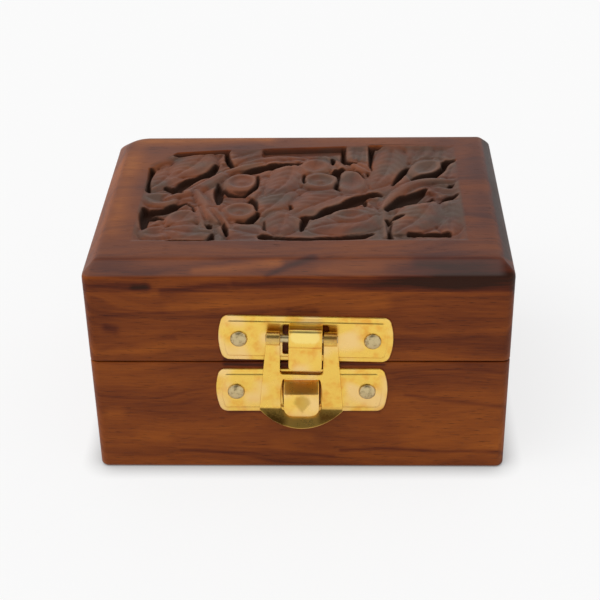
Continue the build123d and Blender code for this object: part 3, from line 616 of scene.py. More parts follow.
GAPS = (
    ((-39.7, 13.4, 0.9), (-39.8, 7, 0.4), (-39.4, 1.4, 0.7)),
    ((-34.8, 3.6, 0.9), (-32.8, 2.4, 1.4), (-31, 0.8, 0.9)),
    ((-32, 3.2, 1.5), (-30.2, 6.4, 1.8), (-27.4, 9.4, 1.2), (-24.4, 12, 1.3), (-22.9, 17, 0.8)),
    ((-38.9, -8.6, 1), (-38.7, -13, 1.3), (-38.4, -17.8, 0.7)),
    ((-38.4, -10, 1.6), (-34.6, -9.2, 1.6), (-31.4, -6.4, 1.1), (-29, -4.2, 0.4)),
    ((-37.4, -12.6, 1.4), (-34.4, -13, 0.7)),
    ((-29.2, -4.5, 0.3), (-27.4, -6.2, 0.3), (-26.6, -9.6, 0.25)),
    ((-34.4, 22.4, 0.9), (-31.4, 22.9, 1.1), (-26, 23.8, 0.9), (-20.4, 24.2, 0.7)),
    ((-20.7, 24, 0.5), (-20, 19.2, 0.8), (-18.4, 15.4, 0.6)),
    ((-21.6, 5.8, 0.4), (-21.2, 1.6, 1.3), (-21, -2.4, 1), (-20.8, -5.4, 0.4)),
    ((-20.2, 2.4, 0.7), (-18.2, 0.4, 0.7), (-14.8, -0.1, 0.7), (-12.6, 2, 0.6),
     (-11.5, 5.6, 0.5), (-11.6, 10.4, 0.4)),
    ((-12.8, -3, 0.8), (-11.6, -4.4, 0.7), (-10.9, -9.4, 0.3)),
    ((-10.5, -10.4, 0.5), (-11, -12.6, 0.8), (-13, -15.4, 1.1), (-15.6, -14.9, 0.4)),
    ((-22.3, -16.4, 0.9), (-22.1, -18.6, 0.5)),
    ((-18.8, -15.8, 0.3), (-18.2, -18.8, 0.7), (-17.5, -22, 0.4)),
    ((-30.8, -25.3, 1.3), (-26, -25.6, 0.9), (-21.9, -25, 1.1), (-21.1, -21.4, 0.5)),
    ((-16, 12.5, 0.4), (-12.8, 13.4, 1.6), (-9.4, 15.2, 1.3), (-5.4, 16.6, 1.2), (-0.4, 17.4, 0.4)),
    ((10.9, 27, 0.6), (10.8, 22, 0.6), (11.2, 18.6, 0.8), (14.2, 17.7, 0.4)),
    ((8, 20, 0.7), (8.1, 17.6, 0.5)), ((0.6, 10.6, 0.35), (0.4, 7.6, 0.4), (0.8, 5.6, 0.35)),
    ((10.8, 14, 0.6), (9, 12.4, 1.2), (7.6, 10.9, 0.8)),
    ((9.5, 12, 0.6), (9.5, 7, 0.3), (8.9, 3.4, 0.6), (10, 1.4, 0.2)),
    ((12.6, 14, 0.6), (15, 12, 0.4), (16.4, 8.4, 0.25)),
    ((18.5, 27.2, 1), (18.1, 22, 0.6), (17.9, 16.4, 0.35), (18.3, 13.2, 0.2)),
    ((19.6, 26.6, 1), (22, 27.4, 0.6), (28, 27.6, 0.4)),
    ((23.4, 5, 0.4), (25, 8.8, 0.8), (26.6, 12.6, 0.8), (28, 15.4, 0.4)),
    ((40, 17.8, 0.7), (37.6, 17.4, 0.9), (37, 14, 0.7), (34.8, 10.8, 0.9),
     (31.6, 9.2, 0.9), (28.6, 8.5, 0.5)),
    ((0.5, -19.6, 0.4), (0.9, -15.8, 0.9), (1.6, -13, 0.9)),
    ((0.6, -13, 0.6), (4, -12.6, 0.8), (6.6, -9.6, 1.2), (10, -7.4, 1.1), (13.2, -4.6, 1.8),
     (15.6, -1.6, 1.1), (18.8, -0.2, 1.1), (20.4, -0.6, 0.5)),
    ((16, -3.2, 0.8), (16.3, -6.2, 0.4)),
    ((21.4, -8.8, 0.5), (23.8, -6.2, 1.4), (26.6, -3.2, 2.2), (29.6, -0.4, 1.5), (32, 2.8, 0.4)),
    ((26, -5.4, 1.2), (29.6, -5, 1.1), (32.8, -3.4, 0.9), (33.4, -1.6, 0.4)),
    ((35.4, -4.4, 0.6), (37.4, -2.6, 1.1), (39.4, -1.4, 0.6)),
    ((22.6, -14.4, 0.5), (24, -13.2, 0.9), (25.6, -12.2, 0.4)),
    ((21.6, -14.6, 0.7), (22.4, -16.2, 0.5)),
    ((22.4, -17.2, 0.3), (22, -20.4, 0.35), (22.1, -23.8, 0.8)),
    ((26.8, -21.6, 0.7), (31, -22, 1.1), (36, -21.8, 1)),
    ((-8.6, -23.4, 1.4), (-0.6, -24.7, 1.5), (5, -24.4, 1.4), (12.6, -23.6, 1.7),
     (17.8, -21.4, 0.5)),
    ((-2.6, -6.4, 0.35), (-2.3, -8.2, 0.45)), ((-8.8, -14.8, 0.25), (-8.5, -19.6, 0.4)),
    ((38.6, 4.4, 0.7), (37.8, 3.2, 0.5)),
)
# places that are only half sunk
SHALLOWS = (
    ((-10.2, 22.6, 0.9), (-8.6, 24.8, 1.7), (-3, 24.9, 2.2), (3, 25, 2.4), (8.6, 25.2, 2.2)),
    ((-17.4, -2.4, 1.6), (-14, -3, 1.6)), ((14.4, -4.4, 0.9), (17.6, -3.4, 1.2), (19, -6, 0.9)),
    ((30.4, -2.6, 1), (33, -2.8, 1), (36, -3.6, 0.9)),
)

# %% The carved field and its depths
LEFT, RIGHT, NEAR = -40.5, 40.5, -25.1
FAR_EDGE = ((-40.5, -34.0, -20.0, 10.0, 20.0, 40.5), (16.6, 23.8, 25.4, 27.3, 27.9, 27.6))
BED, SHALLOW, GROUND = -0.9, -1.6, -2.9  # heights of the bed, the half sunk and the sunk places
KNIFE_LINE, GAP_TRIM = 0.34, 0.2
DRAWING_SHIFT = 1.0                      # the tables above were drawn this far too near
# the first mark darkens recesses: dark staining with painted shade
CARVING_MARKS = ("recess_stain_and_shade", "crest", "worked")
MARGIN = 0.75                            # the lattice goes on this far over the flat border
LINE_PARTS = 4                           # short straight parts to each stretch of a curve
FAR_OUTSIDE = -9.0                       # a depth below which nothing changes any more
print("carving:", len(FORMS), "forms,", len(STEMS), "stems,", len(GAPS), "gaps")

# %% Lines and forms of the carving
def smooth_line(points):
    """A Catmull-Rom curve through points: each stretch is a cubic whose slope at a point is
    half the step from the point before to the point after."""
    p = np.array(points, float)
    p = np.vstack([2 * p[0] - p[1], p, 2 * p[-1] - p[-2]])
    t = np.linspace(0, 1, LINE_PARTS, endpoint=False)[:, None, None]
    a, b, c, d = p[:-3], p[1:-2], p[2:-1], p[3:]
    curve = 0.5 * (2 * b + (c - a) * t + (2 * a - 5 * b + 4 * c - d) * t**2
                   + (3 * b - a - 3 * c + d) * t**3)
    return np.vstack([curve.transpose(1, 0, 2).reshape(-1, p.shape[1]), p[-2]])


def depth_inside(x, y, points):
    """How far a place lies inside a line of changing width: the half width at the nearest
    point of the line, less the distance to it."""
    best = np.full(x.shape, FAR_OUTSIDE)
    line = smooth_line(points)
    for (x0, y0, w0), (x1, y1, w1) in zip(line[:-1], line[1:]):
        dx, dy = x1 - x0, y1 - y0
        t = np.clip(((x - x0) * dx + (y - y0) * dy) / (dx * dx + dy * dy + 1e-9), 0, 1)
        best = np.maximum(best, w0 + (w1 - w0) * t - np.hypot(x - x0 - t * dx, y - y0 - t * dy))
    return best


def form_height(kind, x, y, cx, cy, length, width, turn, level, hollow, bend=0.0):
    """Depth inside one carved form, and its surface. In the form's own frame u runs along
    the midrib, which sags by 4 bend u^2 / length, and v across it. At a share s of its half
    length a leaf is as wide as (1 - s^2)^0.62, with a grooved midrib and slanting veins. A
    petal is a hollow oval, and a bud a ring with a low middle."""
    c, s = math.cos(math.radians(turn)), math.sin(math.radians(turn))
    u, v = (x - cx) * c + (y - cy) * s, (y - cy) * c - (x - cx) * s
    v = v - bend * u * u / length * 4
    part = np.clip(2 * u / length, -1, 1)
    half = min(length, width) / 2
    if kind == "leaf":
        outline_half = width / 2 * (1 - part**2) ** 0.62 * (1 + 0.16 * part)
        depth = np.minimum(outline_half - np.abs(v), (length / 2 - np.abs(u)) * 0.8)
        inner = np.clip(depth / half, 0, 1)
        top = level - 0.62 * (1 - ease(-0.1, 0.62, inner)) - hollow * 0.45 * ease(0.35, 1, inner)
        top -= 0.26 * np.exp(-((v / 0.45) ** 2)) * ease(0, 0.3, 1 - np.abs(part))
        veins = 0.5 + 0.5 * np.cos(2 * math.pi * (u * 0.34 + np.abs(v) * 0.38))
        top -= 0.07 * veins**2 * ease(0.05, 0.5, inner)
    else:
        away = np.hypot(2 * u / length, 2 * v / width)
        depth = (1 - away) * half
        top = level - 0.5 * (1 - ease(-0.05, 0.36, 1 - away))
        if kind == "petal":
            top -= hollow * 0.9 * ease(0.25, 0.95, 1 - away)
            top -= 0.14 * np.exp(-((v / 0.4) ** 2)) * ease(0.1, 0.5, 1 - away)
        else:
            top += hollow * (0.35 * ease(0.72, 0.95, 1 - away) - 0.8 * ease(0.24, 0.6, 1 - away))
    return depth, top


# %% The height of the carving
def lay(height, depth, top, ditch, soft):
    """Lays a form over a surface: a knife line round it that fades over its ditch width, and
    its own top where it is more than a soft edge deep inside."""
    height = height - KNIFE_LINE * np.exp(-((np.minimum(depth, 0) / ditch) ** 2)) * (depth < 0)
    inside = ease(-0.10, soft, depth)
    return height * (1 - inside) + top * inside


def sink(height, level, share):
    """Lowers a surface by a share of the way to a level, and never raises it."""
    return np.minimum(height, height + (level - height) * share)


def carve(x, y):
    """The height of the carved field over x and y, 0 at the border's level, how far each
    place lies inside a gap, and how far inside the field."""
    edge = np.min([x - LEFT, RIGHT - x, y - NEAR, np.interp(x, *FAR_EDGE) - y], axis=0)
    y = y - DRAWING_SHIFT
    height = BED - 0.08 * np.cos(x * 0.9 + y * 0.4) * np.cos(y * 0.8 - x * 0.3)
    for kind, *sizes in FORMS:
        height = lay(height, *form_height(kind, x, y, *sizes), ditch=0.6, soft=0.42)
    for points, level in STEMS:
        depth = depth_inside(x, y, points)
        height = lay(height, depth, level - 0.55 + 0.6 * ease(-0.1, 1.4, depth), 0.5, 0.5)
    height *= ease(-0.3, 2.4, edge)
    wall = ease(0.0, 0.42, edge)
    for points in SHALLOWS:
        height = sink(height, SHALLOW, ease(-0.3, 0.5, depth_inside(x, y, points)) * wall)
    gap = np.max([depth_inside(x, y, points) for points in GAPS], axis=0) - GAP_TRIM
    return sink(height, GROUND, ease(-0.28, 0.42, gap) * wall), gap, edge


# %% [markdown]
# The whole lid board is one mesh: a fine lattice over the sunk field, and rings from its
# rim out over the flat border, round the worn bevel, down the sides and back under the
# board. The far left corner is knocked round with use, so its radius grows to the top.

# %% Rim and blur of a lattice
CELL = 0.25
CORNER_STEPS = 14
WIDE_BLUR = 40                           # passes that leave the lie of the ground alone


def lattice_rim(points):
    """The walk round a lattice in outline()'s order: right, far, left and near side."""
    return np.vstack([points[:-1, -1], points[-1, :0:-1], points[:0:-1, 0], points[0, :-1]])


def soften(field, passes):
    """Blurs a lattice: each pass makes a number a quarter of the one before, half of itself
    and a quarter of the one after, along both directions."""
    for _ in range(passes):
        for axis in (0, 1):
            n = field.shape[axis]
            before = field.take(np.maximum(np.arange(n) - 1, 0), axis)
            after = field.take(np.minimum(np.arange(n) + 1, n - 1), axis)
            field = (before + after) / 4 + field / 2
    return field


# %% The carved board
def carved_board():
    """The lattice's far side follows the field's own. Recesses are dark: dark staining with
    painted shade in the gaps, and painted shade in places lower than their softened
    surroundings and on slopes that face the front. Crests are places higher than their
    surroundings."""
    left, right, near, far = LEFT - MARGIN, RIGHT + MARGIN, NEAR - MARGIN, max(FAR_EDGE[1]) + MARGIN
    across = np.linspace(left, right, round((right - left) / CELL) + 1)
    x, share = np.meshgrid(across, np.linspace(0, 1, round((far - near) / CELL) + 1))
    y = near + (np.interp(x, *FAR_EDGE) + MARGIN - near) * share
    height, gap, edge = carve(x, y)
    height = soften(height, 1)
    field = np.stack([x, y, HEIGHT + height], -1)
    hollow = soften(height, WIDE_BLUR) - height
    climb = np.gradient(height, axis=0) / np.gradient(y, axis=0)
    # dark staining with painted shade in the gaps, painted shade in hollows and on slopes that face
    # the front
    recess_stain_and_shade = np.clip(ease(-0.5, 0.2, gap) * 0.95 + ease(0.1, 1.0, hollow) * 0.6
                     + ease(0.35, 1.5, climb) * 0.6, 0, 0.92)
    recess_stain_and_shade *= ease(-0.2, 0.4, edge)
    crest = ease(0.05, 0.45, -hollow) * (height > -1.0) * (1 - recess_stain_and_shade) * ease(0.0, 0.8, edge)
    worked = ease(-0.4, 0.6, edge)
    steps_x, steps_y = field.shape[1] - 1, field.shape[0] - 1
    rows = [lattice_rim(field)]
    # inset from the side, height, corner radius, radius of the knocked corner at the far left
    profile = (
        (8.6, 59.0, 1.0, 2.0), (6.6, 59.0, 1.0, 3.6), (4.8, 59.0, 1.0, 5.0), (3.9, 58.97, 0.9, 5.6),
        (3.4, 58.87, 0.8, 5.6), (2.9, 58.62, 0.8, 5.6), (2.3, 58.1, 0.9, 5.4),
        (1.2, 57.05, 1.3, 5.0), (0.55, 56.36, 1.6, 4.6), (0.22, 55.9, 1.8, 4.3),
        (0.05, 55.3, 1.95, 4.0), (0.0, 54.7, 2.0, 3.7), (0.0, 53.2, 2.0, 2.8),
        (0.0, 51.7, 2.0, 2.0), (0.6, 51.7, 2.0, 2.0), (7.6, 51.7, 2.0, 2.0))
    for inset, z, radius, knocked in profile:
        radii = (radius, radius, knocked, radius)
        rows.append(ring(outline(HALF_WIDTH - inset, HALF_DEPTH - inset, radii,
                                 steps_x, steps_y, CORNER_STEPS), z))
    rows.append(ring(np.zeros((len(rows[0]), 2)), PANEL_UNDERSIDE))
    frame_rows = np.stack(rows)
    shape = together(lattice(field), lattice(frame_rows, wrap_cols=True))
    blank = np.zeros(frame_rows.shape[:2]).ravel()
    marks = {name: np.concatenate([values.ravel(), blank])
             for name, values in zip(CARVING_MARKS, (recess_stain_and_shade, crest, worked))}
    return make_piece("carved_lid_board", shape, "lid", "lid_top_panel",
                      crease=60.0, marks=marks)


dress(carved_board(), rosewood("carved board", "x", (60, -150), 33.0, shade=-0.02,
                               marks=TOP_MARKS, cut=True, rough=0.46))

# %% [markdown]
# ## Felt
# The box is lined with felt, so that dice land softly: one sheet, cut to the floor and
# glued down, with a rounded rim and a slight swell. Its short fibres are dull, with a soft
# sheen at the edges.

# %% Felt lining
FLOOR_TOP, FELT_THICKNESS = 6.0, 1.2
FELT_HALF, FELT_CORNER = (43.2, 29.2), 2.0
FELT_STEPS = (80, 56, 6)
FELT_SHARES = (1.0, 0.995, 0.985, 0.97, 0.94, 0.88, 0.8, 0.7, 0.6, 0.5, 0.4, 0.3, 0.2, 0.1, 0.0)
RIM_DROPS = {1.0: 0.5, 0.995: 0.25, 0.985: 0.1}
SWELL = 0.05


def felt_sheet():
    """Rings from the rim to the middle, each a share of the whole outline. Height over the
    floor: the felt's thickness, less two crossed sine waves of a tenth of a millimetre,
    rolled down over the last millimetre at the rim."""
    rows = []
    for share in FELT_SHARES:
        half_x, half_y = (h * share for h in FELT_HALF)
        walk = outline(half_x, half_y, min(FELT_CORNER, half_y), *FELT_STEPS)
        drop = RIM_DROPS.get(share, 0.02)
        swell = SWELL * np.sin(walk[:, 0] * 0.21 + 1.0) * np.cos(walk[:, 1] * 0.27)
        rows.append(np.column_stack([walk, FLOOR_TOP + FELT_THICKNESS - drop - SWELL + swell]))
    under = [ring(np.zeros((len(rows[0]), 2)), FLOOR_TOP),
             ring(outline(*FELT_HALF, FELT_CORNER, *FELT_STEPS), FLOOR_TOP)]
    return lattice(np.stack(under + rows), wrap_cols=True)


def felt_finish():
    """Two tones of red, mixed by fine fibres and by large soft patches."""
    material, graph = new_finish("red felt")
    _, place = graph.millimetres()
    fibre = graph.noise(place, scale=3.2, detail=4.0, roughness=0.7)
    patch = graph.noise(place, scale=0.09, detail=2.0)
    level = fibre * 0.7 + patch * 0.5 - 0.3
    colour = graph.mix(level, tone(74, 12, 18), tone(124, 26, 34))
    graph.finish(Base_Color=colour, Roughness=0.95, Normal=graph.bump(fibre, 0.25, 0.7),
                 Specular_IOR_Level=0.2, Sheen_Weight=0.35, Sheen_Roughness=0.5)
    return material


felt = make_piece("felt_lining", felt_sheet(), "base", "base_lining")
dress(felt, felt_finish())

# %% [markdown]
# ## Brass and steel
# The latch is thin sheet brass, plated and polished, so it takes most of its look from
# what it mirrors. Its tone wanders where the plating has thinned and where fingers touch
# it, and it has fine rub marks. A few streaks of tone are painted reflections and
# highlights. The nails and pins are steel with a yellowish tarnish.

# %% Metal finishes
RUB_DEPTH = 0.012


def metal(name, clean, worn, rough, spot=0.35, glow=None, painted_reflections=()):
    """A polished metal: tone from clean to worn by a slow noise, roughness by a finer one,
    rub marks as a very shallow bump, and glow, a third tone in broad soft patches. The
    last argument paints reflections and highlights, as streaks over x and z: (line and half
    widths, softness, tone, share)."""
    material, graph = new_finish(name)
    (x, _, z), place = graph.millimetres()
    slow = graph.noise(place, scale=spot, detail=3.0, roughness=0.6)
    fine = graph.noise(place, scale=2.6, detail=3.0)
    colour = graph.mix(slow.ease(0.44, 0.74), clean, worn)
    if glow:
        patch = graph.noise(place, scale=0.14, detail=1.0)
        colour = graph.mix(patch.ease(0.42, 0.66), colour, glow)
    for line, soft, reflection_tone, share in painted_reflections:
        blotch = (fine - 0.5) * soft * 2.0
        colour = graph.mix(streak(x, z + blotch, *line, soft=soft) * share, colour, reflection_tone)
    roughness = slow * 0.12 + fine * 0.10 + (rough - 0.11)
    graph.finish(Base_Color=colour, Metallic=1.0, Roughness=roughness,
                 Normal=graph.bump(fine + slow * 2.0, RUB_DEPTH, 0.6))
    return material


BRASS = (tone(244, 203, 96), tone(236, 174, 74), 0.30)
GLOW = tone(246, 208, 136)
latch_brass = metal("polished brass with painted reflections", *BRASS, glow=GLOW, painted_reflections=(
    # a painted highlight on top of the tongue's roll
    ((-0.2, 41.9, 3.6, 41.8, 1.6, 1.6), 0.4, tone(254, 228, 136), 0.8),
    # a painted orange reflection and shade on the catch's ramp
    ((-2.6, 26.0, 3.6, 26.0, 1.0, 1.0), 0.5, tone(234, 152, 50), 0.85),
    # a painted dark V-shaped reflection on the catch's face
    ((0.7, 20.4, 0.7, 22.6, 0.2, 2.0), 0.5, tone(176, 138, 58), 0.55)))
hasp_brass = metal("hasp brass with painted reflections", *BRASS, glow=GLOW, painted_reflections=(
    # painted dark reflections across the lip, darkest at its left end and bronze at its right
    ((-9.5, 17.0, 11.5, 16.9, 2.8, 2.8), 0.4, tone(216, 172, 84), 0.92),
    ((-7.6, 17.9, -4.6, 17.0, 0.9, 1.1), 1.2, tone(92, 58, 20), 0.9),
    ((5.6, 17.6, 8.6, 17.7, 0.9, 0.7), 1.0, tone(128, 76, 28), 0.8),
    # painted grey reflections on the two ears round the pin
    ((-7.4, 41.2, -4.6, 41.2, 0.9, 0.9), 1.4, tone(176, 144, 104), 0.7),
    ((6.2, 41.0, 9.6, 41.0, 0.9, 0.9), 1.4, tone(160, 124, 80), 0.75)))
hinge_brass = metal("satin brass", tone(222, 184, 112), tone(190, 146, 80), 0.34)
screw_brass = metal("screw brass", tone(214, 178, 112), tone(180, 140, 82), 0.32)
steel = metal("bright steel", tone(204, 184, 138), tone(150, 130, 92), 0.34, spot=1.1)

# %% [markdown]
# ## Latch plates
# Each plate is stamped from sheet: flat, with a sloped border, bulged ends and a window.
# Latch shapes are drawn flat, as (across, stand-off, height) about the middle of their
# plate, and carried to the front of the box. The lid's plate was nailed on a little askew,
# and everything on it turns with it.

# %% Latch plates
LID_LATCH = {"x": 1.7, "z": 38.8, "tilt": math.radians(1.4)}
BASE_LATCH = {"x": 0.5, "z": 23.9, "tilt": 0.0}
PLATE_HALF, PLATE_THICKNESS, PLATE_BULGE = (21.0, 6.3), 0.8, 1.2
PLATE_STEPS = (40, 24, 6)
PIN_RISE, PIN_STAND = 1.6, 2.7


def on_front(shape, latch, rise=0.0):
    """Drawing to box: height is first lifted by rise, the drawing turns by the tilt about
    the plate's middle, and stand-off points away from the front face."""
    points, quads = shape
    across, stand, height = points[:, 0], points[:, 1], points[:, 2] + rise
    c, s = math.cos(latch["tilt"]), math.sin(latch["tilt"])
    return np.stack([latch["x"] + across * c + height * s, FRONT_FACE - stand,
                     latch["z"] + height * c - across * s], -1), quads


def plate(window_x, window_y):
    """Rings as (half width, half height, corner, stand-off): round the window at the back,
    over its rounded rim, the flat face, the sloped border, the outer rim and the back. The
    ends bulge by the bulge times 1 - (height / half height)^2."""
    px, py = PLATE_HALF[0] - PLATE_BULGE, PLATE_HALF[1]
    t = PLATE_THICKNESS
    rings = [(window_x, window_y, 0.6, 0.0)] + [
        (window_x + out, window_y + out, corner, t - drop)
        for out, corner, drop in ((0.0, 0.6, 0.14), (0.05, 0.6, 0.04), (0.16, 0.7, 0.0))]
    rings += [(window_x + 0.5, window_y + 0.4, 0.8, t)] + [
        (px - inset, py - inset, corner, t - drop) for inset, corner, drop in (
            (1.75, 0.5, 0.0), (1.62, 0.5, 0.02), (1.52, 0.6, 0.08), (1.34, 0.7, 0.25),
            (1.24, 0.7, 0.29), (0.6, 1.1, 0.32), (0.22, 1.3, 0.38), (0.06, 1.4, 0.48),
            (0.0, 1.4, 0.62), (0.0, 1.4, t))]
    rows = []
    for half_x, half_y, corner, stand in rings:
        walk = outline(half_x, half_y, corner, *PLATE_STEPS)
        x, z = walk.T
        reach = ease(window_x + 3.0, px - 1.5, np.full(len(walk), half_x))
        reach *= np.clip((np.abs(x) - half_x + 3) / 3, 0, 1)
        x = x + np.sign(x) * PLATE_BULGE * (1 - (z / py) ** 2) * reach
        rows.append(np.column_stack([x, np.full(len(x), stand), z]))
    return lattice(np.stack(rows), wrap_rows=True, wrap_cols=True)


# %% [markdown]
# The tongue and the catch are strips of their plates' own sheet: each leaves the top edge
# of its window, runs outwards and folds down in front. A strip is its side line, swept by
# a thin rounded section.

# %% Folded strips
STRIP_EDGE = 0.22                        # radius of a strip's long edges


def straight(a, b, steps):
    """Points in equal steps from a to b."""
    return np.column_stack([np.linspace(a[k], b[k], steps) for k in (0, 1)])


def strip(line, thickness, width, tip_round):
    """At each point of the side line the section is a flat loop: width across, thickness
    along the line's normal, corners rounded. Near the end the half width shrinks by
    r - sqrt(r^2 - (r - d)^2), where d is what is left of the line."""
    step = np.gradient(line, axis=0)
    step /= np.linalg.norm(step, axis=1, keepdims=True)
    run = np.concatenate([[0], np.cumsum(np.hypot(*np.diff(line, axis=0).T))])
    short = np.clip(tip_round - (run[-1] - run), 0, tip_round)
    half = width / 2 - (tip_round - np.sqrt(np.maximum(tip_round**2 - short**2, 0)))
    angle = np.radians([np.linspace(start, start + 90, 4) for start in (0, 90, 180, 270)]).ravel()
    side, face = np.repeat([1, -1, -1, 1], 4), np.repeat([1, 1, -1, -1], 4)
    across = side * (half[:, None] - STRIP_EDGE) + STRIP_EDGE * np.cos(angle)
    lift = face * (thickness / 2 - STRIP_EDGE) + STRIP_EDGE * np.sin(angle)
    skin, core = (np.stack([across, line[:, :1] - step[:, 1:] * off,
                            line[:, 1:] + step[:, :1] * off], -1) for off in (lift, 0 * lift))
    return lattice(np.concatenate([core[:1], skin, core[-1:]]), wrap_cols=True)


def bent(points, radii):
    """A line through points whose inner corners are rounded by arcs of the given radii. An
    arc of radius r that turns by an angle starts r tan(angle / 2) before its corner."""
    points = np.array(points, float)
    line = [points[:1]]
    for before, corner, after, radius in zip(points, points[1:], points[2:], radii):
        u, v = corner - before, after - corner
        u, v = u / np.linalg.norm(u), v / np.linalg.norm(v)
        turn = math.atan2(u[0] * v[1] - u[1] * v[0], u @ v)
        side = math.copysign(1.0, turn)
        start = corner - u * radius * math.tan(abs(turn) / 2)
        angle = np.linspace(0, abs(turn), max(4, round(abs(turn) * 8)))[:, None]
        inward = side * np.array([-u[1], u[0]])
        line.append(start + u * radius * np.sin(angle) + inward * radius * (1 - np.cos(angle)))
    return np.concatenate(line + [points[-1:]])


TONGUE_FOLD = ((0.4, 3.1), (0.4, 2.35), (3.80, 2.62), (4.34, -1.05), (3.80, -1.62), (3.82, -2.3))
tongue_line = np.vstack([
    bent(TONGUE_FOLD, (0.5, 0.7, 0.5, 0.5)), straight((3.825, -2.5), (4.0, -7.0), 8),
    straight((4.005, -7.15), (4.04, -8.1), 9)])
CATCH_FOLD = ((0.4, 4.6), (0.4, 3.25), (3.5, 0.85), (4.0, -2.8))
catch_line = np.vstack([
    bent(CATCH_FOLD, (0.85, 0.5)), straight((4.03, -3.0), (4.3, -4.8), 14)])

# %% Lid plate with its tongue, base plate with its catch
TONGUE = {"thickness": 0.85, "width": 8.0, "tip_round": 1.0}
CATCH = {"thickness": 0.8, "width": 8.6, "tip_round": 2.0}
for body, latch, window, line, fold, rise in (
        ("lid", LID_LATCH, (5.5, 4.1), tongue_line, TONGUE, PIN_RISE),
        ("base", BASE_LATCH, (4.6, 4.2), catch_line, CATCH, 0.0)):
    stamped = on_front(plate(*window), latch)
    folded = on_front(strip(line, **fold), latch, rise)
    dress(make_piece(f"{body}_plate", together(stamped, folded), body,
                     f"latch_{body}_plate"), latch_brass)

# %% [markdown]
# ## Hasp
# The hasp is one flap of sheet. Its arms curl round the pin, the slot between them leaves
# room for the tongue, the window lets the catch through, and the lip at the foot bends out
# for a finger. It is a sheet without thickness, thickened and eased by modifiers.

# %% Hasp
HASP_SHIFT, HASP_SHEET = -0.9, 0.7
HASP_TOP, HASP_FOOT = 8.4, 10.2          # half widths at the pin and at the bend
SLOT_HALF, SLOT_END, BAR_END = 5.2, -11.1, -12.3
WINDOW_TOP_HALF, WINDOW_HALF, SHOULDER, WINDOW_END = 4.5, 5.0, -15.8, -21.6
SLOT_CORNER, WINDOW_CORNER = 0.6, 0.8
BEND_HEIGHT, BEND_RADIUS = -21.0, 1.6
LIP_REACH, LIP_DROP = 3.4, 4.0
LIP_TIP = BEND_HEIGHT - LIP_DROP
CURL = 1.4                               # radius of the ears round the pin
# height of an opening's end, the way from there into the opening, corner radius
OPENING_ENDS = ((SLOT_END, 1, SLOT_CORNER), (BAR_END, -1, WINDOW_CORNER),
                (WINDOW_END, 1, WINDOW_CORNER))
ARM_POINTS, MIDDLE_POINTS, LIP_SHARES = 6, 9, (0.3, 0.6, 0.85, 1.0)
TINY = 1e-6


def stand_of(height):
    """Stand-off of the sheet at a height below the pin: flat, then an arc of the bend
    radius that turns by 40 degrees, then the straight lip."""
    turn = math.atan2(LIP_REACH, LIP_DROP)
    start = BEND_HEIGHT + BEND_RADIUS * math.tan(turn / 2)
    end = start - BEND_RADIUS * math.sin(turn)
    in_arc = np.clip(start - height, 0, BEND_RADIUS * math.sin(turn))
    bow = BEND_RADIUS - np.sqrt(BEND_RADIUS**2 - in_arc**2)
    return PIN_STAND - CURL + bow + np.maximum(end - height, 0) * LIP_REACH / LIP_DROP


def inner_half(height):
    """Half width of the opening: the slot, the bar's taper, then the window, with each
    opening's corners rounded where its end is near."""
    half = np.interp(height, [WINDOW_END, SHOULDER, BAR_END, SLOT_END, 0],
                     [WINDOW_HALF, WINDOW_HALF, WINDOW_TOP_HALF, SLOT_HALF, SLOT_HALF])
    for end, way, radius in OPENING_ENDS:
        far = (height - end) * way
        short = np.where(far >= -TINY, np.clip(radius - far, 0, radius), 0)
        half = half - (radius - np.sqrt(radius**2 - short**2))
    return half


# %% The hasp's sheet
def hasp_sheet():
    """Rows run down the flap, closer together at the corners of the openings, and then down
    the lip to an arc through its corners and its tip. Above the flap they curl round the
    pin. Columns share out the arms and the middle, and the openings' quads are left out."""
    near_ends = [end + way * radius * share for end, way, radius in OPENING_ENDS
                 for share in (0, 0.1, 0.3, 0.6, 1)]
    heights = np.unique(np.concatenate([
        np.linspace(0, SLOT_END + 0.6, 6), [SLOT_END - 0.6],
        np.linspace(BAR_END - 0.8, SHOULDER, 4), np.linspace(SHOULDER, WINDOW_END + 1.4, 4),
        near_ends]))[::-1]
    outer = np.interp(heights, [BEND_HEIGHT, 0], [HASP_FOOT, HASP_TOP])[:, None]
    inner = inner_half(heights)[:, None]
    arm = outer + (inner - outer) * np.linspace(0, 1, ARM_POINTS)
    middle = inner * np.linspace(1, -1, MIDDLE_POINTS)[1:-1]
    x = np.hstack([arm, middle, -arm[:, ::-1]])
    foot, drop = x[-1], WINDOW_END - LIP_TIP
    radius = (HASP_FOOT**2 + drop**2) / (2 * drop)
    tip = LIP_TIP + radius - np.sqrt(radius**2 - np.clip(np.abs(foot), 0, HASP_FOOT) ** 2)
    lip_z = WINDOW_END + (tip - WINDOW_END) * np.array(LIP_SHARES)[:, None]
    z = np.vstack([heights[:, None] + 0 * x, lip_z])
    flap = np.stack([np.vstack([x, foot + 0 * lip_z]), stand_of(z), z], -1)
    angle = np.radians(np.arange(15, 291, 15))[::-1, None] + 0 * foot
    curl = np.stack([x[0] + 0 * angle, PIN_STAND - CURL * np.cos(angle),
                     CURL * np.sin(angle)], -1)
    points = np.concatenate([curl, flap])
    level = np.concatenate([np.full(len(curl), 1.0), heights, np.full(len(lip_z), LIP_TIP)])
    above, below = level[:-1], level[1:]
    in_slot = below >= SLOT_END - TINY
    in_window = (above <= BAR_END + TINY) & (below >= WINDOW_END - TINY)
    keep = np.ones((len(points) - 1, x.shape[1] - 1), bool)
    keep[in_slot | in_window, ARM_POINTS - 1:ARM_POINTS + MIDDLE_POINTS - 2] = False
    points[..., 0] += HASP_SHIFT
    return on_front(lattice(points, keep=keep), LID_LATCH, PIN_RISE)


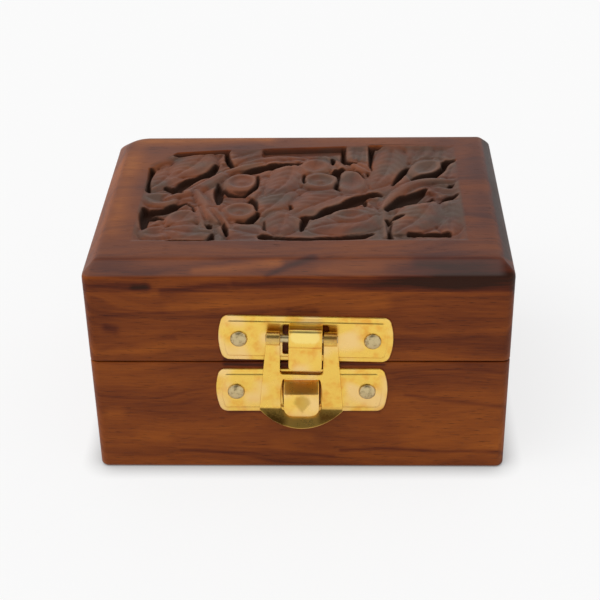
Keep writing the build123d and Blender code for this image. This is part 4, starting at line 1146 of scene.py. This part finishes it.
hasp = make_piece("hasp", hasp_sheet(), "hasp", "latch_hasp")
thick = hasp.modifiers.new("sheet", "SOLIDIFY")
thick.thickness, thick.offset = HASP_SHEET * MM, 0.0
eased = hasp.modifiers.new("eased edges", "BEVEL")
eased.width, eased.segments, eased.limit_method = 0.13 * MM, 2, "ANGLE"
eased.angle_limit, eased.harden_normals = math.radians(50), True
dress(hasp, hasp_brass)

# %% [markdown]
# ## Nails, pin and screws
# Turned things are profiles spun round an axis. The hinge screws have a slot, which a spun
# profile can't give, so a head is a square lattice pressed into a disc, with its two
# middle columns set lower.

# %% Nails
NAIL_OFFSET, NAIL_RADIUS, DOME_FOOT, DOME_RISE = 16.0, 2.1, 0.16, 0.94
PIN_HALF, PIN_RADIUS = 8.65, 1.0


def spun(profile, steps=32):
    """Rings of radius r at height h along the third axis."""
    angle = np.linspace(0, 2 * math.pi, steps, endpoint=False)
    r, h = (np.array(profile, float)[:, k, None] for k in (0, 1))
    return r * np.cos(angle), r * np.sin(angle), h + 0 * angle


def nail(x, latch):
    """A low dome on a thin rim, with a blunt shank into the wood. The hammer's marks on the
    dome are two crossed sine waves."""
    dome = [(NAIL_RADIUS * math.sin(a), DOME_FOOT + DOME_RISE * math.cos(a))
            for a in np.linspace(0, math.pi / 2, 9)]
    u, v, h = spun(dome + [(NAIL_RADIUS, 0.0), (0.75, 0.0), (0.75, -5.2), (0.0, -5.5)])
    h = h + np.where(h > 0.3, 0.05 * np.sin(u * 2.1 + x) * np.cos(v * 2.6 - x), 0)
    points = np.stack([u + x, h + PLATE_THICKNESS, v], -1)
    return on_front(lattice(points, wrap_cols=True), latch)


for body, latch in (("lid", LID_LATCH), ("base", BASE_LATCH)):
    pair = together(*(nail(x, latch) for x in (-NAIL_OFFSET, NAIL_OFFSET)))
    dress(make_piece(f"{body}_nails", pair, body, f"latch_{body}_nails"), steel)

# %% Hasp pin
def hasp_pin():
    """A spun bar through the hasp's ears, as (distance from its axis, distance along it),
    with rounded ends."""
    end = [(0, -PIN_HALF), (0.72, -PIN_HALF), (0.94, -PIN_HALF + 0.12),
           (PIN_RADIUS, -PIN_HALF + 0.3)]
    height, stand, across = spun(end + [(r, -h) for r, h in end[::-1]], 24)
    points = np.stack([across + HASP_SHIFT, stand + PIN_STAND, height], -1)
    return on_front(lattice(points, wrap_cols=True), LID_LATCH, PIN_RISE)


dress(make_piece("hasp_pin", hasp_pin(), "lid", "latch_hasp_pin"), steel)

# %% Slotted screws in the hinge leaves
HINGE_X, SCREW_OFFSET, SCREW_Y = 27.0, 4.5, 31.85
SCREW_HEAD, SCREW_SLOT, SLOT_DEPTH = 1.3, 0.24, 0.4
# down the cone and the shank: the scale of the head's rim, and the greatest height
SHANK = ((1.0, -0.12), (0.55, -0.65), (0.55, -5.3), (0.0, -6.0))


def screw(cx, cy, rim, way, turn):
    """Columns cross the head, and the two in the middle lie in the slot. A column at u is
    twice sqrt(R^2 - u^2) long. Rows go on over the edge, down the cone and the shank to a
    point. way is +1 for a head that faces up and -1 for one facing down."""
    side = SCREW_HEAD * np.sin(np.linspace(math.asin(SCREW_SLOT / SCREW_HEAD), math.pi / 2, 8))
    u = np.concatenate([-side[::-1], [-SCREW_SLOT, SCREW_SLOT], side])
    low = np.array([0] * 8 + [1, 1] + [0] * 8) * -SLOT_DEPTH
    half = np.sqrt(np.maximum(SCREW_HEAD**2 - u**2, 0))
    top = [np.column_stack([u, v * half, low]) for v in np.linspace(-1, 1, 9)]
    first, last = ([np.column_stack([row[:, :2] * scale, np.minimum(row[:, 2], z)])
                    for scale, z in SHANK] for row in (top[0], top[-1]))
    points = np.stack(first[::-1] + top + last)
    c, s = math.cos(turn), math.sin(turn)
    return lattice(np.stack([cx + points[..., 0] * c - points[..., 1] * s,
                             cy + points[..., 0] * s + points[..., 1] * c,
                             rim + way * points[..., 2]], -1))


places = [x + d for x in (-HINGE_X, HINGE_X) for d in (-SCREW_OFFSET, SCREW_OFFSET)]
for body, rim, way, turns in (("base", 31.85, 1, (0.4, 1.3, 2.2, 0.9)),
                              ("lid", 32.15, -1, (1.0, 0.2, 1.7, 2.6))):
    screws = together(*(screw(x, SCREW_Y, rim, way, turn) for x, turn in zip(places, turns)))
    dress(make_piece(f"slotted_{body}_screws", screws, body,
                     f"hinge_{body}_screws"), screw_brass)

# %% Finishes of the hinges
for side in ("left", "right"):
    for leaf in ("base_leaf", "lid_leaf"):
        dress(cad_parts[f"{side}_hinge_{leaf}"], hinge_brass)
    dress(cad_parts[f"{side}_hinge_pin"], steel)
